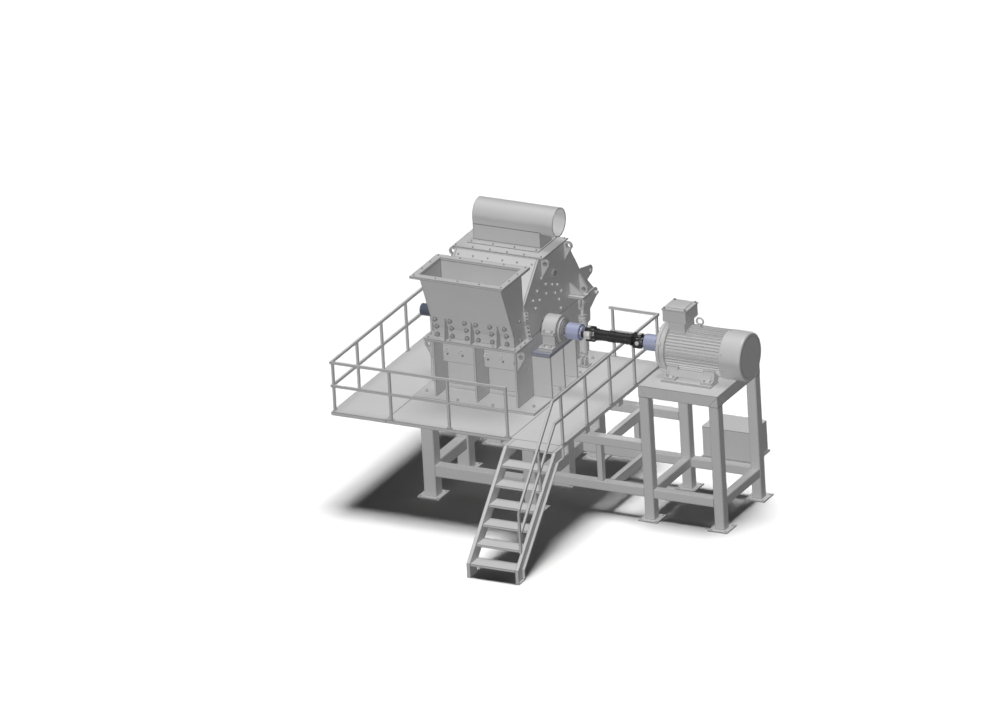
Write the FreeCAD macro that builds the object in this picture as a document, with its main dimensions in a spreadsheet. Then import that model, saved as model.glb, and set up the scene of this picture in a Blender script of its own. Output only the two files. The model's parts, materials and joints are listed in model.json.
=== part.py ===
"""A horizontal-shaft crusher on its platform, with its motor stand and stair.

X runs along the rotor shaft towards the motor, Y to the rear and Z up.  Sizes are
measured from the ground under the deck's front left corner, and every piece is then
moved so that the origin lies at the bottom centre of the whole.
"""
import FreeCAD, Part
import math
import os
import re
import Sketcher
from FreeCAD import Placement, Rotation, Vector

os.makedirs("parts", exist_ok=True)
doc = FreeCAD.newDocument("crusher")
sheet = doc.addObject("Spreadsheet::Sheet", "Sizes")

SIZES = {
    # Deck, its beams and the legs of the main frame
    "deck_length": 4300, "deck_width": 3750, "deck_top": 1750, "deck_thick": 60,
    "seam": 3, "seam_left": 1020, "seam_right": 3342,
    "beam_deep": 140, "beam_wide": 140, "beam_end": 60,
    "leg_size": 230, "leg_left": 1150, "leg_right": 3030, "corner": 18,
    "row_front": 955, "row_middle": 2190, "row_rear": 3350,
    "foot_size": 410, "foot_thick": 20, "foot_hole": 13, "foot_hole_edge": 45,
    "rail_low": 380, "rail_deep": 210, "rail_wide": 200, "rail_high": 1200,
    # Stand of the motor and the ties to it
    "stand_leg": 180, "stand_left": 5090, "stand_right": 6385,
    "stand_front": 1313, "stand_rear": 2713, "stand_top": 2425, "stand_deep": 200,
    "stand_skin": 20, "stand_foot": 360, "stand_rail_low": 400, "stand_rail": 160,
    "tie_front": 1330, "tie_rear": 2720, "tie_wide": 160, "tie_deep": 162,
    "tie_low": 405, "tie_high": 1225, "brace_wide": 100, "brace_post": 4220,
    "brace_cross": 4370,
    # Stair and railings
    "stair_reach": 1860, "stair_rise": 250, "stair_run": 260, "tread_deep": 295,
    "tread_thick": 40, "stair_left": 3440, "stair_right": 4275, "stringer_wide": 65,
    "stringer_deep": 220, "stringer_foot": 240, "stringer_web": 10, "stringer_flange": 12,
    "stair_steps": 7, "tube": 40, "post_edge": 30, "right_post": 22, "rail_top": 2650,
    "knee_top": 2230, "side_bays": 4, "front_bays": 3, "front_rail_end": 3281,
    "post_plate": 110, "post_plate_thick": 8, "rear_bay": 908,
    "hand_bend": 220, "knee_bend": 190, "hand_end": 1620, "knee_end": 1600,
    "hand_post_low": 220, "hand_post_high": 1040,
    # Hydraulic unit on the ground
    "unit_left": 4830, "unit_right": 5750, "unit_front": 4020, "unit_back": 4640,
    "unit_lip": 20, "unit_high": 560, "unit_lip_high": 30,
    # Crusher base plate and the way out through it
    "mill_mid": 2165, "base_half": 1135, "base_front": 980, "base_rear": 3740,
    "base_thick": 40, "outlet_half": 665, "outlet_front": 1700, "outlet_rear": 3300,
    # Lower housing
    "wall_half": 780, "wall_thick": 35, "wall_front": 1105, "split": 2830,
    "split_gap": 6, "rib_thick": 40, "panel_front": 1400, "panel_low": 1540,
    "panel_ledge": 2310, "panel_top": 2650, "panel_thick": 30, "chute_lip": 1220,
    "rear_face": 3595, "notch": 120,
    "pivot_y": 4064, "pivot_z": 2712, "horn": 85, "pin": 38, "pin_gap": 0.5,
    "arm_gap": 10, "arm_thick": 30, "arm_eye": 72,
    # Hopper
    "flange_half": 870, "flange_front": 985, "flange_thick": 38, "flange_rear": 1580,
    "flange_inner": 1141, "hopper_half": 755, "hopper_foot": 1130, "hopper_bend": 3050,
    "hopper_lip": 730, "hopper_top": 4100, "hopper_back": 1508, "hopper_sheet": 10,
    "hopper_back_low": 3485, "mouth_flange": 132, "mouth_thick": 40, "mouth_half": 865,
    "mouth_rear": 1622, "fin_thick": 16, "fin_step": 485, "fin_foot": 1000,
    "fin_top": 3250,
    # Hood
    "hood_foot": 1600, "hood_front": 1515, "hood_knee": 3200, "hood_brow": 3477,
    "hood_crown": 2106, "hood_top": 4070, "hood_back": 3080, "hood_heel": 3554,
    "heel_z": 3335, "skin": 25, "top_half": 845, "top_thick": 20, "top_front": 2130,
    "horn_y": 3930, "horn_z": 3170, "boss": 85, "boss_thick": 20, "boss_y": 2623,
    "boss_z": 3631,
    # Duct and exhaust pipe
    "duct_half": 627, "duct_front": 2490, "duct_rear": 2900, "duct_wall": 8,
    "duct_base_front": 2330, "duct_base_rear": 3020, "duct_base_half": 665,
    "duct_base": 15, "pipe": 250, "pipe_wall": 8, "pipe_z": 4530, "pipe_half": 750,
    # Lifting lugs, brackets and cylinders
    "lug_thick": 35, "lug_out": 80, "lug_eye": 75, "lug_hole": 38, "lug_tail": 285,
    "lug_front": 2190, "lug_back": 3040, "lug_top": 3975, "lug_low_y": 1150,
    "lug_low_z": 2710, "lug_rear_y": 3520, "lug_rear_z": 3000,
    "jack_half": 1000, "jack_foot_y": 3110, "jack_foot_z": 1900, "jack_head_y": 3155,
    "jack_head_z": 2920, "jack_barrel": 66, "jack_bore": 34.3, "jack_rod": 34,
    "jack_pin": 20, "ear_half": 53, "ear_thick": 35, "ear": 50, "jack_start": 80,
    "jack_end": 790, "jack_lug_thick": 24, "jack_lug": 66, "jack_lug_hole": 42,
    "shelf_low": 3005, "shelf_thick": 35, "shelf_half": 1075, "shelf_front": 3060,
    "shelf_rear": 3290, "gusset_top": 3260, "gusset_thick": 20,
    # Pedestals and bearings
    "pedestal_half": 1125, "pedestal_thick": 30, "pedestal_front": 1670,
    "pedestal_middle": 2145, "pedestal_rear": 2605, "pedestal_top": 2517,
    "sole_thick": 58, "sole_front": 1665, "sole_rear": 2670,
    "block_near": 855, "block_far": 1135, "block_foot": 395, "block_foot_high": 65,
    "block_round": 240, "cover_round": 195, "cover_small": 165, "cover_out": 18,
    # Rotor line
    "axis_y": 2140, "axis_z": 2852, "shaft": 80, "shaft_gap": 1, "shaft_left": 680,
    "collar": 100, "collar_end": 960, "disc": 340, "disc_thick": 30, "disc_count": 6,
    "rotor_half": 655, "hammer_pitch": 280, "hammer_rod": 25, "hammer_tip": 500,
    "hammer_tail": 240, "hammer_wide": 90, "hammer_thick": 70,
    "hub": 140, "hub_left": 3420, "hub_right": 3660, "hub_recess": 100,
    "hub_recess_deep": 60, "motor_hub_left": 4865, "motor_hub_right": 5100,
    "motor_shaft": 60, "cross_left": 3805, "cross_right": 4745, "cross_rod": 28,
    "cross_reach": 118, "cross_core": 40, "yoke_inner": 60, "yoke_outer": 102,
    "yoke_wide": 45, "yoke_past": 45, "yoke_root": 125, "tube_round": 91,
    "band_start": 4200, "band_long": 80,
    # Motor
    "shield_face": 5270, "shield_back": 5385, "shield": 415, "shield_small": 340,
    "shield_cone": 25, "stator": 365, "fins": 44, "fin_rib": 9, "fin_round": 407,
    "stator_end": 6400, "fan_end": 6795, "fan": 420, "fan_edge": 35, "fan_recess": 20,
    "fan_recess_round": 350, "foot_out": 483, "motor_foot_thick": 35, "foot_long": 210,
    "foot_first": 5400, "foot_last": 6080, "slide_out": 557, "slide_wide": 300,
    "slide_left": 5380, "slide_right": 6305, "slide_thick": 20,
    "box_left": 5310, "box_right": 5740, "box_half": 220, "box_low": 3380,
    "box_high": 3575, "box_lid": 25, "box_lid_out": 12, "neck_left": 5390,
    "neck_right": 5690, "neck_half": 175,
}

WORD = re.compile(r"[a-z][a-z_]*")
SHIFT_X = "fan_end / 2"
SHIFT_Y = "(unit_back - stair_reach) / 2"
RIGHT_EDGES = {axis: [number for number, edge in enumerate(Part.makeBox(1, 1, 1).Edges, 1)
                      if abs(edge.tangentAt(edge.FirstParameter).dot(way)) > 0.9]
               for axis, way in (("x", Vector(1, 0, 0)), ("y", Vector(0, 1, 0)),
                                 ("z", Vector(0, 0, 1)))}
nodes = []


def fill_sheet():
    """The driving sizes, one row each, with the name as the alias."""
    for row, (name, value) in enumerate(SIZES.items(), 1):
        sheet.set(f"A{row}", name)
        sheet.set(f"B{row}", str(value))
        sheet.setAlias(f"B{row}", name)
    doc.recompute()


def size(name):
    """One driving size in millimetres."""
    return float(SIZES[name])


def bind(piece, field, formula):
    """Tie one property to the sheet; the formula is written in the sheet's names."""
    piece.setExpression(field, WORD.sub(lambda word: "Sizes." + word.group(0), formula))


def place(piece, x="0", y="0", z="0"):
    """Put a piece at deck coordinates, moved to the common origin."""
    bind(piece, "Placement.Base.x", f"({x}) - {SHIFT_X}")
    bind(piece, "Placement.Base.y", f"({y}) - {SHIFT_Y}")
    bind(piece, "Placement.Base.z", z)
    return piece


def block(x0, x1, y0, y1, z0, z1):
    """A rectangular block between two corners."""
    piece = doc.addObject("Part::Box", "Block")
    bind(piece, "Length", f"({x1}) - ({x0})")
    bind(piece, "Width", f"({y1}) - ({y0})")
    bind(piece, "Height", f"({z1}) - ({z0})")
    return place(piece, x0, y0, z0)


def round_bar(axis, start, end, first, second, radius):
    """A cylinder along x, y or z; first and second place its centre line."""
    piece = doc.addObject("Part::Cylinder", "Round")
    bind(piece, "Radius", radius)
    bind(piece, "Height", f"({end}) - ({start})")
    if axis == "x":
        piece.Placement = Placement(Vector(), Rotation(Vector(0, 1, 0), 90))
        return place(piece, start, first, second)
    if axis == "y":
        piece.Placement = Placement(Vector(), Rotation(Vector(1, 0, 0), -90))
        return place(piece, first, start, second)
    return place(piece, first, second, start)


def on_shaft(start, end, radius):
    """A cylinder on the rotor's axis."""
    return round_bar("x", start, end, "axis_y", "axis_z", radius)


def softened(piece, axis, radius="corner"):
    """A block with its long edges rounded, as on a rolled hollow section."""
    fillet = doc.addObject("Part::Fillet", "Softened")
    fillet.Base = piece
    fillet.Edges = [(number, size(radius), size(radius)) for number in RIGHT_EDGES[axis]]
    return fillet


def fused(pieces):
    """One welded or cast solid made of several."""
    whole = doc.addObject("Part::MultiFuse", "Fused")
    whole.Shapes = pieces
    whole.Refine = True
    return whole


def group(pieces):
    """Solids that stay separate."""
    if len(pieces) == 1:
        return pieces[0]
    whole = doc.addObject("Part::Compound", "Group")
    whole.Links = pieces
    return whole


def cut(piece, *tools):
    """A piece with the tools taken out of it."""
    rest = doc.addObject("Part::Cut", "Cut")
    rest.Base = piece
    rest.Tool = group(list(tools))
    return rest


def node(label, *pieces):
    """A named sub-part: one solid, or like solids that do not touch."""
    piece = group(list(pieces))
    piece.Label = label
    nodes.append(piece)


def mirrored(low, high):
    """The right-hand and left-hand spans of a piece beside the crusher, as offsets."""
    return [(f"mill_mid + {low}", f"mill_mid + {high}"),
            (f"mill_mid - ({high})", f"mill_mid - ({low})")]


def dimension(sketch, kind, edge, end, formula):
    """One distance from the sketch's origin, tied to the sheet."""
    if kind == "Radius":
        number = sketch.addConstraint(Sketcher.Constraint(kind, edge, 50.0))
    else:
        number = sketch.addConstraint(Sketcher.Constraint(kind, -1, 1, edge, end, 50.0))
    bind(sketch, f"Constraints[{number}]", formula)


def draw_outline(sketch, corners):
    """A closed outline through corners, each one fixed by its two distances."""
    count = len(corners)
    turn = 2 * math.pi / count
    ring = [Vector(500 * math.cos(turn * i), 500 * math.sin(turn * i), 0)
            for i in range(count)]
    for i in range(count):
        sketch.addGeometry(Part.LineSegment(ring[i], ring[(i + 1) % count]))
    for i in range(count):
        sketch.addConstraint(Sketcher.Constraint("Coincident", i, 2, (i + 1) % count, 1))
    for i, (across, up) in enumerate(corners):
        dimension(sketch, "DistanceX", i, 1, across)
        dimension(sketch, "DistanceY", i, 1, up)


def draw_circle(sketch, across, up, radius):
    """A circle fixed by its centre and radius."""
    sketch.addGeometry(Part.Circle(Vector(100, 100, 0), Vector(0, 0, 1), 50))
    dimension(sketch, "DistanceX", 0, 3, across)
    dimension(sketch, "DistanceY", 0, 3, up)
    dimension(sketch, "Radius", 0, 0, radius)


def pad(body, plane, thick, draw, *shape):
    """One padded sketch on a plane of the body, grown towards +X, +Y or +Z."""
    sketch = body.newObject("Sketcher::SketchObject", "Sketch")
    base = [item for item in body.Origin.OriginFeatures if item.Role == plane + "_Plane"]
    sketch.AttachmentSupport = [(base[0], "")]
    sketch.MapMode = "FlatFace"
    draw(sketch, *shape)
    solid = body.newObject("PartDesign::Pad", "Pad")
    solid.Profile = sketch
    solid.Reversed = plane == "XZ"
    bind(solid, "Length", thick)


def plate(plane, start, thick, corners, rounds=(), shift="0"):
    """A flat plate drawn on one plane, with round ears added to its outline."""
    body = doc.addObject("PartDesign::Body", "Plate")
    pad(body, plane, thick, draw_outline, corners)
    for ear in rounds:
        pad(body, plane, thick, draw_circle, *ear)
    if plane == "YZ":
        return place(body, start, shift, "0")
    if plane == "XZ":
        return place(body, shift, start, "0")
    return place(body, "0", shift, start)


def deck():
    """Three floor panels over two long beams and their cross beams."""
    under = "deck_top - deck_thick"
    left_edge, right_edge = "seam_left + seam / 2", "seam_right - seam / 2"
    node("deck_side_panels",
         block("0", "seam_left - seam / 2", "0", "deck_width", under, "deck_top"),
         block("seam_right + seam / 2", "deck_length", "0", "deck_width", under, "deck_top"))
    hole = block("mill_mid - outlet_half", "mill_mid + outlet_half", "outlet_front",
                 "outlet_rear", under + " - 1", "deck_top + 1")
    node("deck_centre_panel",
         cut(block(left_edge, right_edge, "0", "deck_width", under, "deck_top"), hole))
    low = under + " - beam_deep"
    node("deck_long_beams",
         *[block(x, x + " + leg_size", "row_front", "row_rear + leg_size", low, under)
           for x in ("leg_left", "leg_right")])
    spans = []
    for row in ("row_front", "row_middle", "row_rear"):
        front = f"{row} + leg_size / 2 - beam_wide / 2"
        reach = [("beam_end", "leg_left"), ("leg_right + leg_size", "deck_length - beam_end")]
        if row != "row_middle":
            reach.append(("leg_left + leg_size", "leg_right"))
        for x0, x1 in reach:
            spans.append(block(x0, x1, front, front + " + beam_wide", low, under))
    node("deck_cross_beams", *spans)


def foot_plate(x, y, leg, plate_size):
    """A square foot under a leg, with an anchor hole in each corner."""
    left = f"{x} + ({leg} - {plate_size}) / 2"
    front = f"{y} + ({leg} - {plate_size}) / 2"
    slab = block(left, f"{left} + {plate_size}", front, f"{front} + {plate_size}",
                 "0", "foot_thick")
    holes = []
    for across in ("foot_hole_edge", f"{plate_size} - foot_hole_edge"):
        for along in ("foot_hole_edge", f"{plate_size} - foot_hole_edge"):
            holes.append(round_bar("z", "-1", "foot_thick + 1", f"{left} + {across}",
                                   f"{front} + {along}", "foot_hole"))
    return cut(slab, *holes)


def legs_and_rails():
    """Six legs under the deck, four under the motor, their feet and their rails."""
    under = "deck_top - deck_thick - beam_deep"
    feet, legs = [], []
    for x in ("leg_left", "leg_right"):
        for y in ("row_front", "row_middle", "row_rear"):
            legs.append(softened(block(x, x + " + leg_size", y, y + " + leg_size",
                                       "foot_thick", under), "z"))
            feet.append(foot_plate(x, y, "leg_size", "foot_size"))
    for x in ("stand_left", "stand_right"):
        for y in ("stand_front", "stand_rear"):
            legs.append(softened(block(x, x + " + stand_leg", y, y + " + stand_leg",
                                       "foot_thick", "stand_top - stand_deep"), "z"))
            feet.append(foot_plate(x, y, "stand_leg", "stand_foot"))
    node("support_legs", *legs)
    node("foot_plates", *feet)
    rails = []
    low, high = "rail_low", "rail_low + rail_deep"
    for y in ("row_front", "row_rear + leg_size - rail_wide"):
        rails.append(softened(block("leg_left + leg_size", "leg_right", y,
                                    y + " + rail_wide", low, high), "x"))
    for x in ("leg_left", "leg_right + leg_size - rail_wide"):
        for y0, y1 in (("row_front", "row_middle"), ("row_middle", "row_rear")):
            rails.append(softened(block(x, x + " + rail_wide", y0 + " + leg_size", y1,
                                        low, high), "y"))
    right = "leg_right + leg_size - rail_wide"
    for y0, y1 in (("row_front", "row_middle"), ("row_middle", "row_rear")):
        rails.append(softened(block(right, right + " + rail_wide", y0 + " + leg_size", y1,
                                    "rail_high", "rail_high + rail_deep"), "y"))
    node("frame_rails", *rails)


def motor_stand():
    """The stand's closed top, its lower rails and the ties to the main frame."""
    low, high = "stand_rail_low", "stand_rail_low + stand_rail"
    inset = "(stand_leg - stand_rail) / 2"
    rails = []
    for y in ("stand_front", "stand_rear"):
        front = f"{y} + {inset}"
        rails.append(softened(block("stand_left + stand_leg", "stand_right", front,
                                    front + " + stand_rail", low, high), "x"))
    for x in ("stand_left", "stand_right"):
        left = f"{x} + {inset}"
        rails.append(softened(block(left, left + " + stand_rail", "stand_front + stand_leg",
                                    "stand_rear", low, high), "y"))
    node("stand_lower_rails", *rails)
    bottom = "stand_top - stand_deep"
    outer = block("stand_left", "stand_right + stand_leg", "stand_front",
                  "stand_rear + stand_leg", bottom, "stand_top")
    inner = block("stand_left + stand_leg", "stand_right", "stand_front + stand_leg",
                  "stand_rear", bottom + " - 1", "stand_top - stand_skin")
    node("stand_top", cut(outer, inner))
    ties = []
    for y in ("tie_front", "tie_rear"):
        for z in ("tie_low", "tie_high"):
            ties.append(softened(block("leg_right + leg_size", "stand_left", y,
                                       y + " + tie_wide", z, z + " + tie_deep"), "x"))
    node("tie_rails", *ties)
    middle = "(tie_wide - brace_wide) / 2"
    braces = [block("brace_post", "brace_post + brace_wide", f"{y} + {middle}",
                    f"{y} + {middle} + brace_wide", "tie_low + tie_deep", "tie_high")
              for y in ("tie_front", "tie_rear")]
    braces += [block("brace_cross", "brace_cross + brace_wide", "tie_front + tie_wide",
                     "tie_rear", z, z + " + tie_deep") for z in ("tie_low", "tie_high")]
    node("tie_braces", *braces)


def stringer(x, outward):
    """A stair side: a channel that follows the flight and ends level at the deck."""
    top, reach, rise, run = (size(name) for name in
                             ("deck_top", "stair_reach", "stair_rise", "stair_run"))
    slope = rise / run
    drop = size("stringer_deep") * math.hypot(1, slope)
    foot = size("stringer_foot")
    level = top - size("stringer_deep")
    corners = [(0, 0), (0, rise), ((top - rise) / slope, top), (reach, top),
               (reach, level), ((level - rise + drop) / slope, level),
               (foot, rise - drop + foot * slope), (foot, 0)]
    points = [Vector(0, y - reach, z) for y, z in corners]
    face = Part.Face(Part.makePolygon(points + points[:1]))
    inner = face.makeOffset2D(-size("stringer_flange"))
    wide, web = size("stringer_wide"), size("stringer_web")
    solid = face.extrude(Vector(wide, 0, 0))
    hollow = inner.extrude(Vector(wide, 0, 0))
    hollow.translate(Vector(web if outward > 0 else -web, 0, 0))
    piece = doc.addObject("Part::Feature", "Stringer")
    piece.Shape = solid.cut(hollow)
    return place(piece, x)


def stair():
    """The flight: two channels, separate treads and a handrail on the right."""
    node("stair_stringers", stringer("stair_left - stringer_wide", -1),
         stringer("stair_right", 1))
    treads = []
    for step in range(int(size("stair_steps"))):
        front = f"{step} * stair_run - stair_reach"
        high = f"{step + 1} * stair_rise"
        treads.append(block("stair_left", "stair_right", front, front + " + tread_deep",
                            high + " - tread_thick", high))
    node("stair_treads", *treads)
    left = "deck_length - right_post - tube / 2"
    away = "stair_reach + post_edge - tube / 2"
    bars = []
    for high, bend, end in (("rail_top", "hand_bend", "hand_end"),
                            ("knee_top", "knee_bend", "knee_end")):
        low_end = f"{high} - {end} + {bend}"
        bars.append(plate("YZ", left, "tube", [
            (away, high), (f"stair_reach - {bend}", high),
            (f"stair_reach - {end}", low_end), (f"stair_reach - {end}", low_end + " - tube * 1.414"),
            (f"stair_reach - {bend} + tube * 0.414", high + " - tube"),
            (away, high + " - tube")], shift="-stair_reach"))
    slope = "stair_rise / stair_run"
    for start in ("hand_post_low", "hand_post_high"):
        end = start + " + tube"
        head = "rail_top - stair_reach + hand_bend - tube"
        bars.append(plate("YZ", left, "tube", [
            (start, f"stair_rise + ({start}) * {slope}"),
            (end, f"stair_rise + ({end}) * {slope}"),
            (end, f"{head} + ({start})"), (start, f"{head} + ({start})")],
            shift="-stair_reach"))
    node("stair_handrail", fused(bars))


def fence(axis, centre, posts, start, end):
    """A railing panel: posts on small plates, a top rail and a knee rail."""
    half = "tube / 2"
    foot = "post_plate / 2"
    pieces = []
    for high in ("rail_top", "knee_top"):
        if axis == "x":
            pieces.append(block(start, end, f"{centre} - {half}", f"{centre} + {half}",
                                high + " - tube", high))
        else:
            pieces.append(block(f"{centre} - {half}", f"{centre} + {half}", start, end,
                                high + " - tube", high))
    for along in posts:
        x, y = (along, centre) if axis == "x" else (centre, along)
        pieces.append(block(f"{x} - {half}", f"{x} + {half}", f"{y} - {half}",
                            f"{y} + {half}", "deck_top", "rail_top - tube"))
        narrow = "tube / 2 + 1"
        dx, dy = (foot, narrow) if axis == "x" else (narrow, foot)
        pieces.append(block(f"{x} - {dx}", f"{x} + {dx}", f"{y} - {dy}", f"{y} + {dy}",
                            "deck_top", "deck_top + post_plate_thick"))
    return fused(pieces)


def railings():
    """Railings on four sides of the deck, open at the stair and behind the crusher."""
    half = "tube / 2"
    pitch = "(deck_width - 2 * post_edge - post_plate) / side_bays"
    first = "post_edge + post_plate / 2"
    rows = [f"{first} + {i} * {pitch}" for i in range(int(size("side_bays")) + 1)]
    front_end, rear_end = f"post_edge - {half}", f"deck_width - post_edge + {half}"
    right = "deck_length - right_post"
    node("railing_left", fence("y", "post_edge", rows, front_end, rear_end))
    node("railing_right", fence("y", right, rows, front_end, rear_end))
    bays = int(size("front_bays"))
    step = "(front_rail_end - post_edge) / front_bays"
    node("railing_front",
         fence("x", "post_edge", [f"post_edge + {i} * {step}" for i in range(1, bays + 1)],
               f"post_edge + {half}", f"front_rail_end + {half}"))
    back = "deck_width - post_edge"
    node("railing_rear",
         fence("x", back, ["post_edge + rear_bay - post_plate / 2"], f"post_edge + {half}",
               "post_edge + rear_bay"),
         fence("x", back, [f"{right} - rear_bay + post_plate / 2"], f"{right} - rear_bay",
               f"{right} - {half}"))


def hydraulic_unit():
    """The oil unit that stands on the ground behind the motor stand."""
    tank = softened(block("unit_left", "unit_right", "unit_front", "unit_back - unit_lip",
                          "unit_lip_high", "unit_high"), "z", "unit_lip")
    lip = block("unit_left - unit_lip", "unit_right + unit_lip", "unit_front - unit_lip",
                "unit_back", "0", "unit_lip_high")
    node("hydraulic_unit", fused([tank, lip]))


def shaft_notch(x0, x1):
    """The round way through a side wall for the shaft."""
    return on_shaft(x0 + " - 1", x1 + " + 1", "notch")


def lower_housing():
    """Base plate, side walls with rear horns, centre rib, bent front and rear panel."""
    floor = "deck_top + base_thick"
    slab = block("mill_mid - base_half", "mill_mid + base_half", "base_front", "base_rear",
                 "deck_top", floor)
    hole = block("mill_mid - outlet_half", "mill_mid + outlet_half", "outlet_front",
                 "outlet_rear", "deck_top - 1", floor + " + 1")
    node("base_plate", cut(slab, hole))
    outline = [("wall_front", floor), ("wall_front", "split"), ("base_rear + 20", "split"),
               ("base_rear + 50", "pivot_z + horn"), ("pivot_y", "pivot_z + horn"),
               ("pivot_y + horn * 0.7", "pivot_z - horn * 0.7"),
               ("pivot_y - 218", "pivot_z - 216"), ("pivot_y - 230", "pivot_z - 409"),
               ("base_rear - 2", "pivot_z - 427"), ("base_rear - 2", floor)]
    for name, (x0, x1) in zip(("lower_side_right", "lower_side_left"),
                              mirrored("wall_half - wall_thick", "wall_half")):
        wall = plate("YZ", x0, "wall_thick", outline, [("pivot_y", "pivot_z", "horn")])
        pin_x = (x0, "-") if name.endswith("right") else (x1, "+")
        inner = (f"{pin_x[0]} - arm_gap - arm_thick - 12" if pin_x[1] == "-" else x0)
        outer = (x1 if pin_x[1] == "-" else f"{pin_x[0]} + arm_gap + arm_thick + 12")
        pin = round_bar("x", inner, outer, "pivot_y", "pivot_z", "pin")
        node(name, fused([cut(wall, shaft_notch(x0, x1)), pin]))
    rib = plate("YZ", "mill_mid - rib_thick / 2", "rib_thick", [
        ("wall_front", floor), ("wall_front", "split"), ("chute_lip", "split"),
        ("panel_front", "panel_top"), ("panel_front", "panel_ledge"),
        ("panel_low", "panel_ledge"), ("panel_low", floor)])
    inner_half = "wall_half - wall_thick"
    bend = "panel_thick * 0.414"
    front = plate("YZ", f"mill_mid - ({inner_half})", f"2 * ({inner_half})", [
        ("panel_low", floor), ("panel_low", "panel_ledge"), ("panel_front", "panel_ledge"),
        ("panel_front", "panel_top"), ("chute_lip", "split"),
        ("chute_lip + panel_thick * 1.414", "split"),
        ("panel_front + panel_thick", f"panel_top + {bend}"),
        ("panel_front + panel_thick", "panel_ledge + panel_thick"),
        ("panel_low + panel_thick", "panel_ledge + panel_thick"),
        ("panel_low + panel_thick", floor)])
    node("lower_front", fused([front, rib]))
    node("lower_rear", block(f"mill_mid - ({inner_half})", f"mill_mid + ({inner_half})",
                             "rear_face - wall_thick", "rear_face", floor, "split"))


def hopper():
    """The feed hopper: base flange, leaning sheet body, fins and mouth flange."""
    low, high = "split", "split + flange_thick"
    inner = "wall_half - wall_thick"
    frame = block("mill_mid - flange_half", "mill_mid + flange_half", "flange_front",
                  "flange_rear", low, high)
    way = block(f"mill_mid - ({inner})", f"mill_mid + ({inner})", "flange_inner",
                "flange_rear + 1", low + " - 1", high + " + 1")
    node("hopper_base_flange", cut(frame, way))
    side = [("hopper_foot", high), ("hopper_foot", "hopper_bend"),
            ("hopper_lip", "hopper_top"), ("hopper_back", "hopper_top"),
            ("hopper_back", "hood_knee"), ("flange_rear", high)]
    sheets = [plate("YZ", x0, "hopper_sheet", side)
              for x0, x1 in mirrored("hopper_half - hopper_sheet", "hopper_half")]
    lean = "hopper_sheet * 1.07"
    sheets.append(plate("YZ", "mill_mid - hopper_half", "2 * hopper_half", [
        ("hopper_foot", high), ("hopper_foot", "hopper_bend"), ("hopper_lip", "hopper_top"),
        (f"hopper_lip + {lean}", "hopper_top"), (f"hopper_foot + {lean}", "hopper_bend"),
        (f"hopper_foot + {lean}", high)]))
    sheets.append(block("mill_mid - hopper_half", "mill_mid + hopper_half",
                        "hopper_back - hopper_sheet", "hopper_back", "hopper_back_low",
                        "hopper_top"))
    node("hopper_body", fused(sheets))
    fin = [("fin_foot", high), ("hopper_foot", high), ("hopper_foot", "hopper_bend"),
           ("hopper_foot - (fin_top - hopper_bend) * (hopper_foot - hopper_lip)"
            " / (hopper_top - hopper_bend)", "fin_top")]
    node("hopper_fins", *[plate("YZ", f"mill_mid + {i} * fin_step - fin_thick / 2",
                                "fin_thick", fin) for i in (-1, 0, 1)])
    rim = block("mill_mid - mouth_half", "mill_mid + mouth_half",
                "hopper_lip - mouth_flange", "mouth_rear", "hopper_top",
                "hopper_top + mouth_thick")
    mouth = block("mill_mid - hopper_half + hopper_sheet",
                  "mill_mid + hopper_half - hopper_sheet", f"hopper_lip + {lean}",
                  "hopper_back - hopper_sheet", "hopper_top - 1",
                  "hopper_top + mouth_thick + 1")
    node("hopper_mouth_flange", cut(rim, mouth))


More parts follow.
